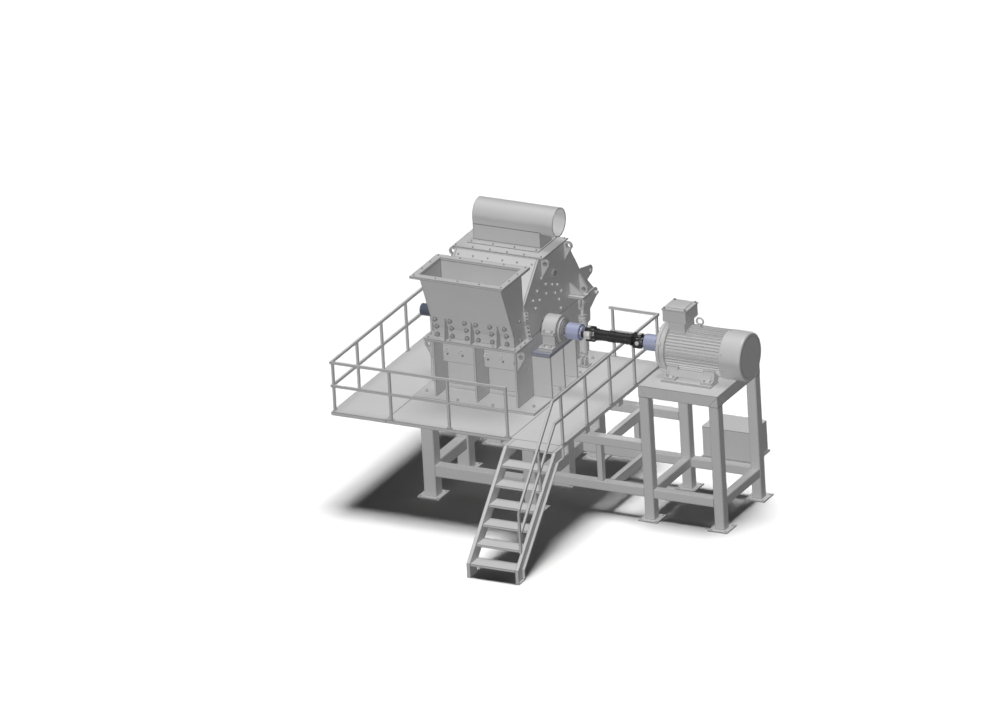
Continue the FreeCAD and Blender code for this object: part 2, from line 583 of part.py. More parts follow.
def hood():
    """The upper housing that opens about the rear pins."""
    foot = "split + split_gap"
    outline = [("hood_foot", foot), ("hood_front", "hood_knee"), ("hood_front", "hood_brow"),
               ("hood_crown", "hood_top"), ("hood_back", "hood_top"), ("hood_heel", "heel_z"),
               ("horn_y - 17", "horn_z + 83"), ("horn_y + 55", "horn_z - 64"),
               ("horn_y - 187", "horn_z - 152"), ("rear_face + 133", foot)]
    for name, (x0, x1) in zip(("hood_side_right", "hood_side_left"),
                              mirrored("wall_half - wall_thick", "wall_half")):
        wall = plate("YZ", x0, "wall_thick", outline, [("horn_y", "horn_z", "horn")])
        eye = round_bar("x", x0 + " - 1", x1 + " + 1", "horn_y", "horn_z", "pin")
        outside = x1 if name.endswith("right") else x0 + " - boss_thick"
        boss = round_bar("x", outside, outside + " + boss_thick", "boss_y", "boss_z", "boss")
        node(name, fused([cut(wall, shaft_notch(x0, x1), eye), boss]))
    left, wide = "mill_mid - wall_half + wall_thick", "2 * (wall_half - wall_thick)"
    dip = "skin * 0.707"
    node("hood_front_slope", plate("YZ", left, wide, [
        ("hood_front", "hood_brow"), ("hood_crown", "hood_top"),
        (f"hood_crown + {dip} * 2", "hood_top"), (f"hood_front + {dip}", f"hood_brow - {dip}")]))
    steep = "skin * 1.19"
    node("hood_rear", plate("YZ", left, wide, [
        ("hood_back", "hood_top"), ("hood_heel", "heel_z"), ("rear_face", "heel_z - 8"),
        ("rear_face", foot), ("rear_face - wall_thick", foot),
        ("rear_face - wall_thick", "heel_z - 40"), ("hood_heel - 14", "heel_z - 30"),
        (f"hood_back - {steep}", "hood_top")]))
    node("hood_top", block("mill_mid - top_half", "mill_mid + top_half", "top_front",
                           "hood_back", "hood_top", "hood_top + top_thick"))
    arm = [("rear_face", "pivot_z + 190"), ("rear_face", "pivot_z + 420"),
           ("rear_face + 180", "pivot_z + 400"), ("pivot_y + arm_eye * 0.8", "pivot_z + 43"),
           ("pivot_y - arm_eye * 0.75", "pivot_z - 43")]
    arms = []
    for x0, x1 in mirrored("wall_half - wall_thick - arm_gap - arm_thick",
                           "wall_half - wall_thick - arm_gap"):
        blank = plate("YZ", x0, "arm_thick", arm, [("pivot_y", "pivot_z", "arm_eye")])
        arms.append(cut(blank, round_bar("x", x0 + " - 1", x1 + " + 1", "pivot_y",
                                         "pivot_z", "pin + pin_gap")))
    node("hood_hinge_arms", *arms)


def lug(side, y, z, tail):
    """A pear-shaped lifting plate on a side wall; tail +1 hangs, -1 stands."""
    face = f"mill_mid + {side} * wall_half"
    hole_x = f"{face} + {side} * lug_out"
    drop = f"{z} - {tail} * lug_tail"
    corners = [(face, f"{z} + {tail} * lug_eye * 0.8"), (hole_x, f"{z} + {tail} * lug_eye"),
               (f"{hole_x} + {side} * lug_eye * 0.96", f"{z} - {tail} * lug_eye * 0.28"),
               (face, drop)]
    blank = plate("XZ", f"{y} - lug_thick / 2", "lug_thick", corners,
                  [(hole_x, z, "lug_eye")])
    return cut(blank, round_bar("y", f"{y} - lug_thick", f"{y} + lug_thick", hole_x, z,
                                "lug_hole"))


def lifting_lugs():
    """Four lugs at the hood's top, two at its rear and two low on the housing."""
    sides = (1, -1)
    node("hood_lifting_lugs",
         *[lug(side, y, "lug_top", 1) for side in sides for y in ("lug_front", "lug_back")],
         *[lug(side, "lug_rear_y", "lug_rear_z", -1) for side in sides])
    node("lower_lifting_lugs", *[lug(side, "lug_low_y", "lug_low_z", 1) for side in sides])


def duct():
    """The dust duct on the hood and the open pipe across it."""
    low = "hood_top + top_thick"
    base = block("mill_mid - duct_base_half", "mill_mid + duct_base_half",
                 "duct_base_front", "duct_base_rear", low, low + " + duct_base")
    outer = block("mill_mid - duct_half", "mill_mid + duct_half", "duct_front",
                  "duct_rear", low + " + duct_base", "pipe_z")
    inner = block("mill_mid - duct_half + duct_wall", "mill_mid + duct_half - duct_wall",
                  "duct_front + duct_wall", "duct_rear - duct_wall",
                  low + " + duct_base", "pipe_z + 1")
    middle = "(duct_front + duct_rear) / 2"
    ends = ("mill_mid + 145 - pipe_half", "mill_mid + 145 + pipe_half")
    solid = round_bar("x", *ends, middle, "pipe_z", "pipe")
    node("duct_box", cut(fused([base, cut(outer, inner)]), solid))
    tube = round_bar("x", *ends, middle, "pipe_z", "pipe")
    bore = round_bar("x", ends[0] + " - 1", ends[1] + " + 1", middle, "pipe_z",
                     "pipe - pipe_wall")
    node("exhaust_pipe", cut(tube, bore))


def pedestals():
    """The bearing supports beside the housing, their sole plates and the bearings."""
    floor = "deck_top + base_thick"
    plates, soles, bearings = [], [], []
    for x0, x1 in mirrored("wall_half", "pedestal_half"):
        for y in ("pedestal_front", "pedestal_middle", "pedestal_rear"):
            plates.append(block(x0, x1, y, y + " + pedestal_thick", floor, "pedestal_top"))
        soles.append(block(x0, x1, "sole_front", "sole_rear", "pedestal_top",
                           "pedestal_top + sole_thick"))
    node("pedestal_plates", *plates)
    node("sole_plates", *soles)
    seat = "pedestal_top + sole_thick"
    waist = "block_round - 2"
    for x0, x1 in mirrored("block_near", "block_far"):
        foot = block(x0, x1, "axis_y - block_foot", "axis_y + block_foot", seat,
                     seat + " + block_foot_high")
        body = block(x0 + " + 20", x1 + " - 20", f"axis_y - {waist}", f"axis_y + {waist}",
                     seat, "axis_z")
        shell = on_shaft(x0 + " + 10", x1 + " - 10", "block_round")
        cover = on_shaft(x0 + " - 8", x1 + " + 8", "cover_round")
        seal = on_shaft(x0 + " - cover_out", x1 + " + cover_out", "cover_small")
        bore = on_shaft(x0 + " - 50", x1 + " + 50", "shaft + shaft_gap")
        bearings.append(cut(fused([foot, body, shell, cover, seal]), bore))
    node("bearing_blocks", *bearings)


def hammer_rod_places():
    """The four places of the hammer rods round the shaft, as formulas."""
    return [("axis_y", "axis_z + hammer_pitch"), ("axis_y", "axis_z - hammer_pitch"),
            ("axis_y + hammer_pitch", "axis_z"), ("axis_y - hammer_pitch", "axis_z")]


def rotor():
    """Shaft, discs and rows of hammers inside the housing."""
    node("rotor_shaft", fused([on_shaft("shaft_left", "hub_right - hub_recess_deep - 30", "shaft"),
                               on_shaft("shaft_left", "collar_end", "collar")]))
    left, right = "mill_mid - rotor_half", "mill_mid + rotor_half"
    count = int(size("disc_count"))
    pitch = f"(2 * rotor_half - disc_thick) / {count - 1}"
    discs = []
    for i in range(count):
        start = f"{left} + {i} * {pitch}"
        holes = [round_bar("x", start + " - 1", start + " + disc_thick + 1", y, z, "hammer_rod")
                 for y, z in hammer_rod_places()]
        discs.append(cut(on_shaft(start, start + " + disc_thick", "disc"),
                         on_shaft(start + " - 1", start + " + disc_thick + 1", "shaft"),
                         *holes))
    node("rotor_discs", *discs)
    rows = []
    half = "hammer_wide / 2"
    for place_number, (y, z) in enumerate(hammer_rod_places()):
        pieces = [round_bar("x", left + " - 10", right + " + 10", y, z, "hammer_rod")]
        for i in range(count - 1):
            middle = f"{left} + disc_thick / 2 + ({i} + 0.5) * {pitch}"
            x0, x1 = f"{middle} - hammer_thick / 2", f"{middle} + hammer_thick / 2"
            sign = "+" if place_number in (0, 2) else "-"
            near, far = (f"{sign} hammer_tail", f"{sign} hammer_tip")
            if sign == "-":
                near, far = far, near
            if place_number < 2:
                pieces.append(block(x0, x1, f"axis_y - {half}", f"axis_y + {half}",
                                    f"axis_z {near}", f"axis_z {far}"))
            else:
                pieces.append(block(x0, x1, f"axis_y {near}", f"axis_y {far}",
                                    f"axis_z - {half}", f"axis_z + {half}"))
        rows.append(fused(pieces))
    node("hammer_rows", *rows)


def ears(x0, x1, upright):
    """The two ears of a joint yoke, side by side along Y or, upright, along Z."""
    pieces = []
    for sign in ("+", "-"):
        near, far = f"{sign} yoke_inner", f"{sign} yoke_outer"
        if sign == "-":
            near, far = far, near
        if upright:
            pieces.append(block(x0, x1, "axis_y - yoke_wide", "axis_y + yoke_wide",
                                f"axis_z {near}", f"axis_z {far}"))
        else:
            pieces.append(block(x0, x1, f"axis_y {near}", f"axis_y {far}",
                                "axis_z - yoke_wide", "axis_z + yoke_wide"))
    return pieces


def cross_arm(axis, x, radius, reach):
    """One arm of a joint cross, along Y or Z through the axis."""
    if axis == "y":
        return round_bar("y", f"axis_y - {reach}", f"axis_y + {reach}", x, "axis_z", radius)
    return round_bar("z", f"axis_z - {reach}", f"axis_z + {reach}", x, "axis_y", radius)


def drive_line():
    """Hubs, joint yokes, crosses and the shaft between crusher and motor."""
    root_left, root_right = "hub_right - hub_recess_deep", "motor_hub_left + hub_recess_deep"
    mill_hub = cut(on_shaft("hub_left", "hub_right", "hub"),
                   on_shaft("hub_left - 1", root_left + " - 30", "shaft"),
                   on_shaft(root_left, "hub_right + 1", "hub_recess"))
    motor_hub = cut(on_shaft("motor_hub_left", "motor_hub_right", "hub"),
                    on_shaft("motor_hub_left - 1", root_right, "hub_recess"))
    motor_end = on_shaft("motor_hub_right", "shield_face + 50", "motor_shaft")
    node("coupling_hubs", mill_hub, fused([motor_hub, motor_end]))
    yokes = []
    for cross, x0, x1, base0, base1 in (
            ("cross_left", "hub_right + 30", "cross_left + yoke_past", root_left, "hub_right + 30"),
            ("cross_right", "cross_right - yoke_past", "motor_hub_left - 20",
             "motor_hub_left - 20", root_right)):
        solid = fused([on_shaft(base0, base1, "hub_recess")] + ears(x0, x1, False))
        yokes.append(cut(solid, cross_arm("y", cross, "cross_rod", "2 * cross_reach")))
    node("flange_yokes", *yokes)
    inner_left, inner_right = "cross_left + yoke_root", "cross_right - yoke_root"
    tube = fused([on_shaft(inner_left, inner_right, "tube_round"),
                  on_shaft(inner_left, inner_left + " + 40", "yoke_outer"),
                  on_shaft(inner_right + " - 40", inner_right, "yoke_outer"),
                  on_shaft("band_start", "band_start + band_long", "tube_round + 6")]
                 + ears("cross_left - yoke_past", inner_left, True)
                 + ears(inner_right, "cross_right + yoke_past", True))
    node("cardan_shaft", cut(tube, cross_arm("z", "cross_left", "cross_rod", "2 * cross_reach"),
                             cross_arm("z", "cross_right", "cross_rod", "2 * cross_reach")))
    crosses = []
    for x in ("cross_left", "cross_right"):
        core = block(f"{x} - cross_core", f"{x} + cross_core", "axis_y - cross_core",
                     "axis_y + cross_core", "axis_z - cross_core", "axis_z + cross_core")
        crosses.append(fused([core, cross_arm("y", x, "cross_rod", "cross_reach"),
                              cross_arm("z", x, "cross_rod", "cross_reach")]))
    node("joint_crosses", *crosses)


def finned_stator():
    """The motor's ribbed body: a round pad with one rib turned round it."""
    body = doc.addObject("PartDesign::Body", "Stator")
    length = "stator_end - shield_back"
    pad(body, "YZ", length, draw_circle, "0", "0", "stator")
    pad(body, "YZ", length, draw_outline,
        [("fin_rib / 2", "stator - 20"), ("fin_rib / 2", "fin_round"),
         ("-fin_rib / 2", "fin_round"), ("-fin_rib / 2", "stator - 20")])
    turned = body.newObject("PartDesign::PolarPattern", "Ribs")
    turned.Originals = [body.Group[-2] if body.Group[-2].isDerivedFrom("PartDesign::Pad")
                        else body.Group[-1]]
    along = [item for item in body.Origin.OriginFeatures if item.Role == "X_Axis"]
    turned.Axis = (along[0], [""])
    turned.Angle = 360
    bind(turned, "Occurrences", "fins")
    body.Tip = turned
    return place(body, "shield_back", "axis_y", "axis_z")


def motor():
    """The motor on its slide rails, with end shield, fan cover and terminal box."""
    seat = "stand_top + slide_thick"
    feet = []
    for sign in (1, -1):
        outer = f"axis_y + {sign} * foot_out"
        for x in ("foot_first", "foot_last"):
            feet.append(plate("YZ", x, "foot_long", [
                (outer, seat), (outer, seat + " + motor_foot_thick"),
                (f"axis_y + {sign} * (foot_out - 110)", seat + " + motor_foot_thick + 10"),
                (f"axis_y + {sign} * (stator - 40)", "axis_z - 130"),
                (f"axis_y + {sign} * 200", "axis_z - 290"),
                (f"axis_y + {sign} * (foot_out - 240)", seat)]))
    neck = block("neck_left", "neck_right", "axis_y - neck_half", "axis_y + neck_half",
                 "axis_z + stator - 60", "box_low")
    node("motor_body", fused([finned_stator(), neck] + feet))
    cone = doc.addObject("Part::Cone", "Shield")
    cone.Placement = Placement(Vector(), Rotation(Vector(0, 1, 0), 90))
    bind(cone, "Radius1", "shield_small")
    bind(cone, "Radius2", "shield")
    bind(cone, "Height", "shield_cone")
    place(cone, "shield_face", "axis_y", "axis_z")
    rim = on_shaft("shield_face + shield_cone", "shield_back", "shield")
    nose = on_shaft("shield_face - 25", "shield_face", "hub + 20")
    bore = on_shaft("shield_face - 26", "shield_face + 60", "motor_shaft + shaft_gap")
    node("motor_end_shield", cut(fused([cone, rim, nose]), bore))
    cover = on_shaft("stator_end", "fan_end", "fan")
    soft = doc.addObject("Part::Fillet", "Soft")
    soft.Base = cover
    cover.recompute()
    doc.recompute()
    far = max(range(len(cover.Shape.Edges)),
              key=lambda number: cover.Shape.Edges[number].BoundBox.XMin)
    soft.Edges = [(far + 1, size("fan_edge"), size("fan_edge"))]
    dish = on_shaft("fan_end - fan_recess", "fan_end + 1", "fan_recess_round")
    node("motor_fan_cover", cut(soft, dish))
    box = block("box_left", "box_right", "axis_y - box_half", "axis_y + box_half",
                "box_low", "box_high")
    lid = block("box_left - box_lid_out", "box_right + box_lid_out",
                "axis_y - box_half - box_lid_out", "axis_y + box_half + box_lid_out",
                "box_high", "box_high + box_lid")
    node("terminal_box", fused([box, lid]))
    node("motor_slide_rails",
         *[block("slide_left", "slide_right", y, y + " + slide_wide", "stand_top", seat)
           for y in ("axis_y - slide_out", "axis_y + slide_out - slide_wide")])


def jack_fork(x, centre_y, centre_z, root_z):
    """Two ears round a pin; their straight ends point to root_z."""
    pieces = []
    for side in (1, -1):
        start = (f"{x} + ear_half - ear_thick" if side > 0 else f"{x} - ear_half")
        low, high = (root_z, centre_z) if root_z < centre_z else (centre_z, root_z)
        corners = [(f"{centre_y} - ear", root_z), (f"{centre_y} + ear", root_z),
                   (f"{centre_y} + ear", centre_z), (f"{centre_y} - ear", centre_z)]
        pieces.append(plate("YZ", start, "ear_thick", corners, [(centre_y, centre_z, "ear")]))
    return pieces


def cylinders():
    """The two upright hydraulic cylinders that raise the hood."""
    floor = "deck_top + base_thick"
    bases, shelves = [], []
    lean = "(jack_head_y - jack_foot_y) / (jack_head_z - jack_foot_z)"
    for name, side in (("right", "+"), ("left", "-")):
        x = f"mill_mid {side} jack_half"
        pin = round_bar("x", f"{x} - ear_half - 8", f"{x} + ear_half + 8", "jack_foot_y",
                        "jack_foot_z", "jack_pin")
        pad_plate = block(f"{x} - 90", f"{x} + 90", "jack_foot_y - 90", "jack_foot_y + 90",
                          floor, floor + " + 20")
        bases.append(fused(jack_fork(x, "jack_foot_y", "jack_foot_z", floor + " + 20")
                           + [pin, pad_plate]))
        start, end = "jack_foot_z + jack_start", "jack_foot_z + jack_end"
        eye = round_bar("x", f"{x} - jack_lug_thick / 2", f"{x} + jack_lug_thick / 2",
                        "jack_foot_y", "jack_foot_z", "ear - 5")
        stem = block(f"{x} - jack_lug_thick / 2", f"{x} + jack_lug_thick / 2",
                     "jack_foot_y - 35", "jack_foot_y + 35", "jack_foot_z", start)
        barrel = round_bar("z", start, end, x, "jack_foot_y", "jack_barrel")
        heads = [round_bar("z", z0, z1, x, "jack_foot_y", "jack_barrel + 8")
                 for z0, z1 in ((start, start + " + 45"), (end + " - 60", end))]
        solid = cut(fused([eye, stem, barrel] + heads),
                    round_bar("x", f"{x} - 50", f"{x} + 50", "jack_foot_y", "jack_foot_z",
                              "jack_pin + pin_gap"),
                    round_bar("z", start + " + 30", end + " + 1", x, "jack_foot_y",
                              "jack_bore"))
        node("cylinder_barrel_" + name, leaned(solid, lean))
        rod = round_bar("z", start + " + 45", "jack_head_z - jack_lug - 20", x,
                        "jack_foot_y", "jack_rod")
        root = "jack_head_z - jack_lug - 50"
        bridge = block(f"{x} - ear_half", f"{x} + ear_half", "jack_foot_y - ear",
                       "jack_foot_y + ear", root, "jack_head_z - jack_lug - 15")
        head_pin = round_bar("x", f"{x} - ear_half - 8", f"{x} + ear_half + 8",
                             "jack_foot_y", "jack_head_z", "jack_pin")
        fork = fused(jack_fork(x, "jack_foot_y", "jack_head_z", root)
                     + [rod, bridge, head_pin])
        node("cylinder_rod_" + name, leaned(fork, lean))
        wall = f"mill_mid {side} wall_half"
        edge = f"mill_mid {side} shelf_half"
        x0, x1 = (wall, edge) if side == "+" else (edge, wall)
        shelf = block(x0, x1, "shelf_front", "shelf_rear", "shelf_low",
                      "shelf_low + shelf_thick")
        eye_plate = plate("YZ", f"{x} - jack_lug_thick / 2", "jack_lug_thick", [
            ("jack_head_y - jack_lug", "jack_head_z"),
            ("jack_head_y - jack_lug", "shelf_low"),
            ("jack_head_y + jack_lug", "shelf_low"),
            ("jack_head_y + jack_lug", "jack_head_z")],
            [("jack_head_y", "jack_head_z", "jack_lug")])
        gusset = plate("XZ", "jack_head_y - gusset_thick / 2", "gusset_thick", [
            (wall, "shelf_low + shelf_thick"), (edge, "shelf_low + shelf_thick"),
            (wall, "gusset_top")])
        slot = round_bar("x", f"{x} - 50", f"{x} + 50", "jack_head_y", "jack_head_z",
                         "jack_lug_hole")
        shelves.append(fused([shelf, cut(eye_plate, slot), gusset]))
    node("cylinder_bases", *bases)
    node("hood_brackets", *shelves)


def leaned(piece, slope):
    """A cylinder piece tipped about its foot pin, to lie on the line to its head pin."""
    tipped = doc.addObject("Part::Compound", "Tipped")
    tipped.Links = [piece]
    angle = math.atan2(size("jack_head_y") - size("jack_foot_y"),
                       size("jack_head_z") - size("jack_foot_z"))
    centre = Vector(0, size("jack_foot_y") - (size("unit_back") - size("stair_reach")) / 2,
                    size("jack_foot_z"))
    turn = Rotation(Vector(1, 0, 0), -math.degrees(angle))
    tipped.Placement = Placement(centre - turn.multVec(centre), turn)
    return tipped


def check_and_write():
    """Stop on any failed object, then write one file for each sub-part."""
    doc.recompute()
    for item in doc.Objects:
        if any(word in item.State for word in ("Invalid", "Error")):
            raise RuntimeError(f"{item.Label} failed: {item.State}")
    for item in nodes:
        if item.Shape.isNull() or not item.Shape.isValid() or not item.Shape.Solids:
            raise RuntimeError(f"{item.Label} has no valid shape")
        item.Shape.exportStep(f"parts/{item.Label}.step")


fill_sheet()
deck()
legs_and_rails()
motor_stand()
stair()
railings()
hydraulic_unit()
lower_housing()
hopper()
hood()
lifting_lugs()
duct()
pedestals()
rotor()
drive_line()
motor()
cylinders()
check_and_write()
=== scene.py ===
"""Looks of the crusher on its platform: finishes, fixings and small fittings.

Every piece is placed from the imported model's own boxes.  Lengths are metres.
"""
import json
import math

import bmesh
import bpy
from mathutils import Matrix, Vector


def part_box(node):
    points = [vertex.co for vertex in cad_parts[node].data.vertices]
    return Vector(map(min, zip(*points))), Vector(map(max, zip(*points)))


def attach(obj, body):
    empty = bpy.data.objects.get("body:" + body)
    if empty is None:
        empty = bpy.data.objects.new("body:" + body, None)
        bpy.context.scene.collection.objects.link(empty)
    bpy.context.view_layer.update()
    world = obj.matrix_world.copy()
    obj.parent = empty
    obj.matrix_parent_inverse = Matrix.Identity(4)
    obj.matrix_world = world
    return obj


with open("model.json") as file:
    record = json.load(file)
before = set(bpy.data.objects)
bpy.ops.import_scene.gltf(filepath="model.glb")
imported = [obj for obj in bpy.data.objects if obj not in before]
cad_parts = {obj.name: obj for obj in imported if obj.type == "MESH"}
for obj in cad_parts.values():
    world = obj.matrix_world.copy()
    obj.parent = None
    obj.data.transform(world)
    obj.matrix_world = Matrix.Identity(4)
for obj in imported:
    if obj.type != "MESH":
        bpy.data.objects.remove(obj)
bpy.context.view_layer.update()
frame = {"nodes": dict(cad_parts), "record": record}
# The deck's front left corner, from which the fittings are measured
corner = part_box("deck_side_panels")[0]
DECK_X, DECK_Y = corner.x, corner.y
UP, FRONT = Vector((0, 0, 1)), Vector((0, -1, 0))
RIGHT, LEFT = Vector((1, 0, 0)), Vector((-1, 0, 0))
EIGHTHS = [math.tau * i / 8 for i in range(8)]
SMOOTH_ANGLE = math.radians(32)

# Camera fitted to the photograph: 60 pixels to the metre at 1000 pixels across
VIEW_RIGHT = Vector((0.89187, 0.44922, -0.05262))
VIEW_UP = Vector((-0.13091, 0.36776, 0.92066))
VIEW_POINT = (2.085, 2.169, 2.232)
PIXELS_PER_METRE = 60.0
PICTURE_WIDTH = 1000.0
SENSOR_MM = 36.0
LENS_MM = 1000.0

# Width of the painted dark line along edges and painted shade in creases, less on slender parts
# and on bolts
EDGE_SHADE_WIDTH = 0.022
BOLT_EDGE_SHADE = 0.006
EDGE_SHADE_WIDTHS = {"rail_paint": 0.010, "cross_steel": 0.008, "rod_steel": 0.010,
               "rotor_steel": 0.010, "cardan_black": 0.010, "motor_paint": 0.014}
# How fast the painted shade darkens along edges and in creases, and the most of the colour that
# this painted shade takes away
EDGE_SHADE_GAIN = 10.0
EDGE_SHADE = 0.72
DUST_COLOUR = (0.52, 0.515, 0.50, 1)

# Finishes: slot, linear colour, roughness, metallic, mottle, dust, grain
FINISHES = {
    "frame_paint": ((0.455, 0.455, 0.455), 0.60, 0.0, 0.05, 0.10, 0.25),
    "deck_paint": ((0.455, 0.455, 0.455), 0.70, 0.0, 0.06, 0.12, 0.40),
    "rail_paint": ((0.43, 0.43, 0.43), 0.55, 0.0, 0.04, 0.06, 0.20),
    "mill_paint": ((0.44, 0.44, 0.44), 0.42, 0.0, 0.06, 0.10, 0.30),
    "hopper_paint": ((0.43, 0.43, 0.43), 0.55, 0.0, 0.06, 0.08, 0.25),
    "motor_paint": ((0.45, 0.45, 0.45), 0.42, 0.0, 0.04, 0.06, 0.20),
    "bearing_paint": ((0.40, 0.40, 0.40), 0.50, 0.0, 0.05, 0.06, 0.45),
    "sole_blue": ((0.20, 0.21, 0.26), 0.55, 0.0, 0.05, 0.04, 0.20),
    "unit_paint": ((0.44, 0.44, 0.44), 0.55, 0.0, 0.05, 0.10, 0.20),
    "hub_steel": ((0.285, 0.305, 0.43), 0.45, 0.10, 0.05, 0.02, 0.15),
    "cardan_black": ((0.012, 0.012, 0.012), 0.40, 0.0, 0.25, 0.02, 0.25),
    "cross_steel": ((0.50, 0.50, 0.49), 0.40, 0.10, 0.08, 0.02, 0.15),
    "rotor_steel": ((0.15, 0.14, 0.135), 0.55, 0.45, 0.25, 0.05, 0.60),
    "rod_steel": ((0.55, 0.55, 0.56), 0.30, 0.50, 0.03, 0.0, 0.05),
}
BOLT_STEEL = ((0.42, 0.42, 0.42), 0.42, 0.10, 0.12, 0.03, 0.20)
DARK_STEEL = ((0.24, 0.24, 0.24), 0.45, 0.10, 0.12, 0.03, 0.20)
SHAFT_BLUE = ((0.065, 0.075, 0.105), 0.45, 0.10, 0.10, 0.02, 0.30)

# Lights: name, direction, strength, disc in degrees, shadow, what they light
HIGH = (0.02, 0.06, 1.0)
LIGHTS = (("overhead", HIGH, 1.25, 22, True, "all"),
          ("overhead_ground", HIGH, 4.50, 22, True, "ground"),
          ("overhead_open", (0.0, -0.05, 1.0), 2.30, 5, False, "plant"),
          ("front_fill", (0.0, -1.0, 0.0), 1.85, 1, False, "plant"),
          ("right_fill", (1.0, 0.0, 0.0), 0.62, 1, False, "plant"),
          ("left_fill", (-1.0, 0.0, 0.0), 1.10, 1, False, "plant"),
          ("rear_fill", (0.0, 1.0, 0.0), 0.80, 1, False, "plant"))
GROUND_SEEN = (0.58, 0.58, 0.58, 1)
GROUND_BOUNCE = (0.086, 0.086, 0.086, 1)
SKY_LIGHT = 0.03

# Heights and distances from the deck's corner of the hood's side bosses and hinge
BOSS_Y, BOSS_Z = 2.623, 3.631
HINGE_Y, HINGE_Z = 4.064, 2.712
# The same for the two pins of each hood cylinder
FOOT_Y, FOOT_Z = 3.11, 1.90
HEAD_Y, HEAD_Z = 3.155, 2.92


def at(x, y, z):
    """A point measured from the deck's front left corner on the ground."""
    return Vector((DECK_X + x, DECK_Y + y, z))


def around(centre, radius, turns):
    """Points on a circle about the X axis, at turns in radians."""
    return [centre + Vector((0, math.cos(turn), math.sin(turn))) * radius for turn in turns]


def spaced(start, end, count):
    """Evenly spaced values from start to end, both included."""
    return [start + (end - start) * i / (count - 1) for i in range(count)]


def socket(group, name, way, kind, value=None):
    """One named input or output of a node group."""
    made = group.interface.new_socket(name=name, in_out=way, socket_type=kind)
    if value is not None:
        made.default_value = value


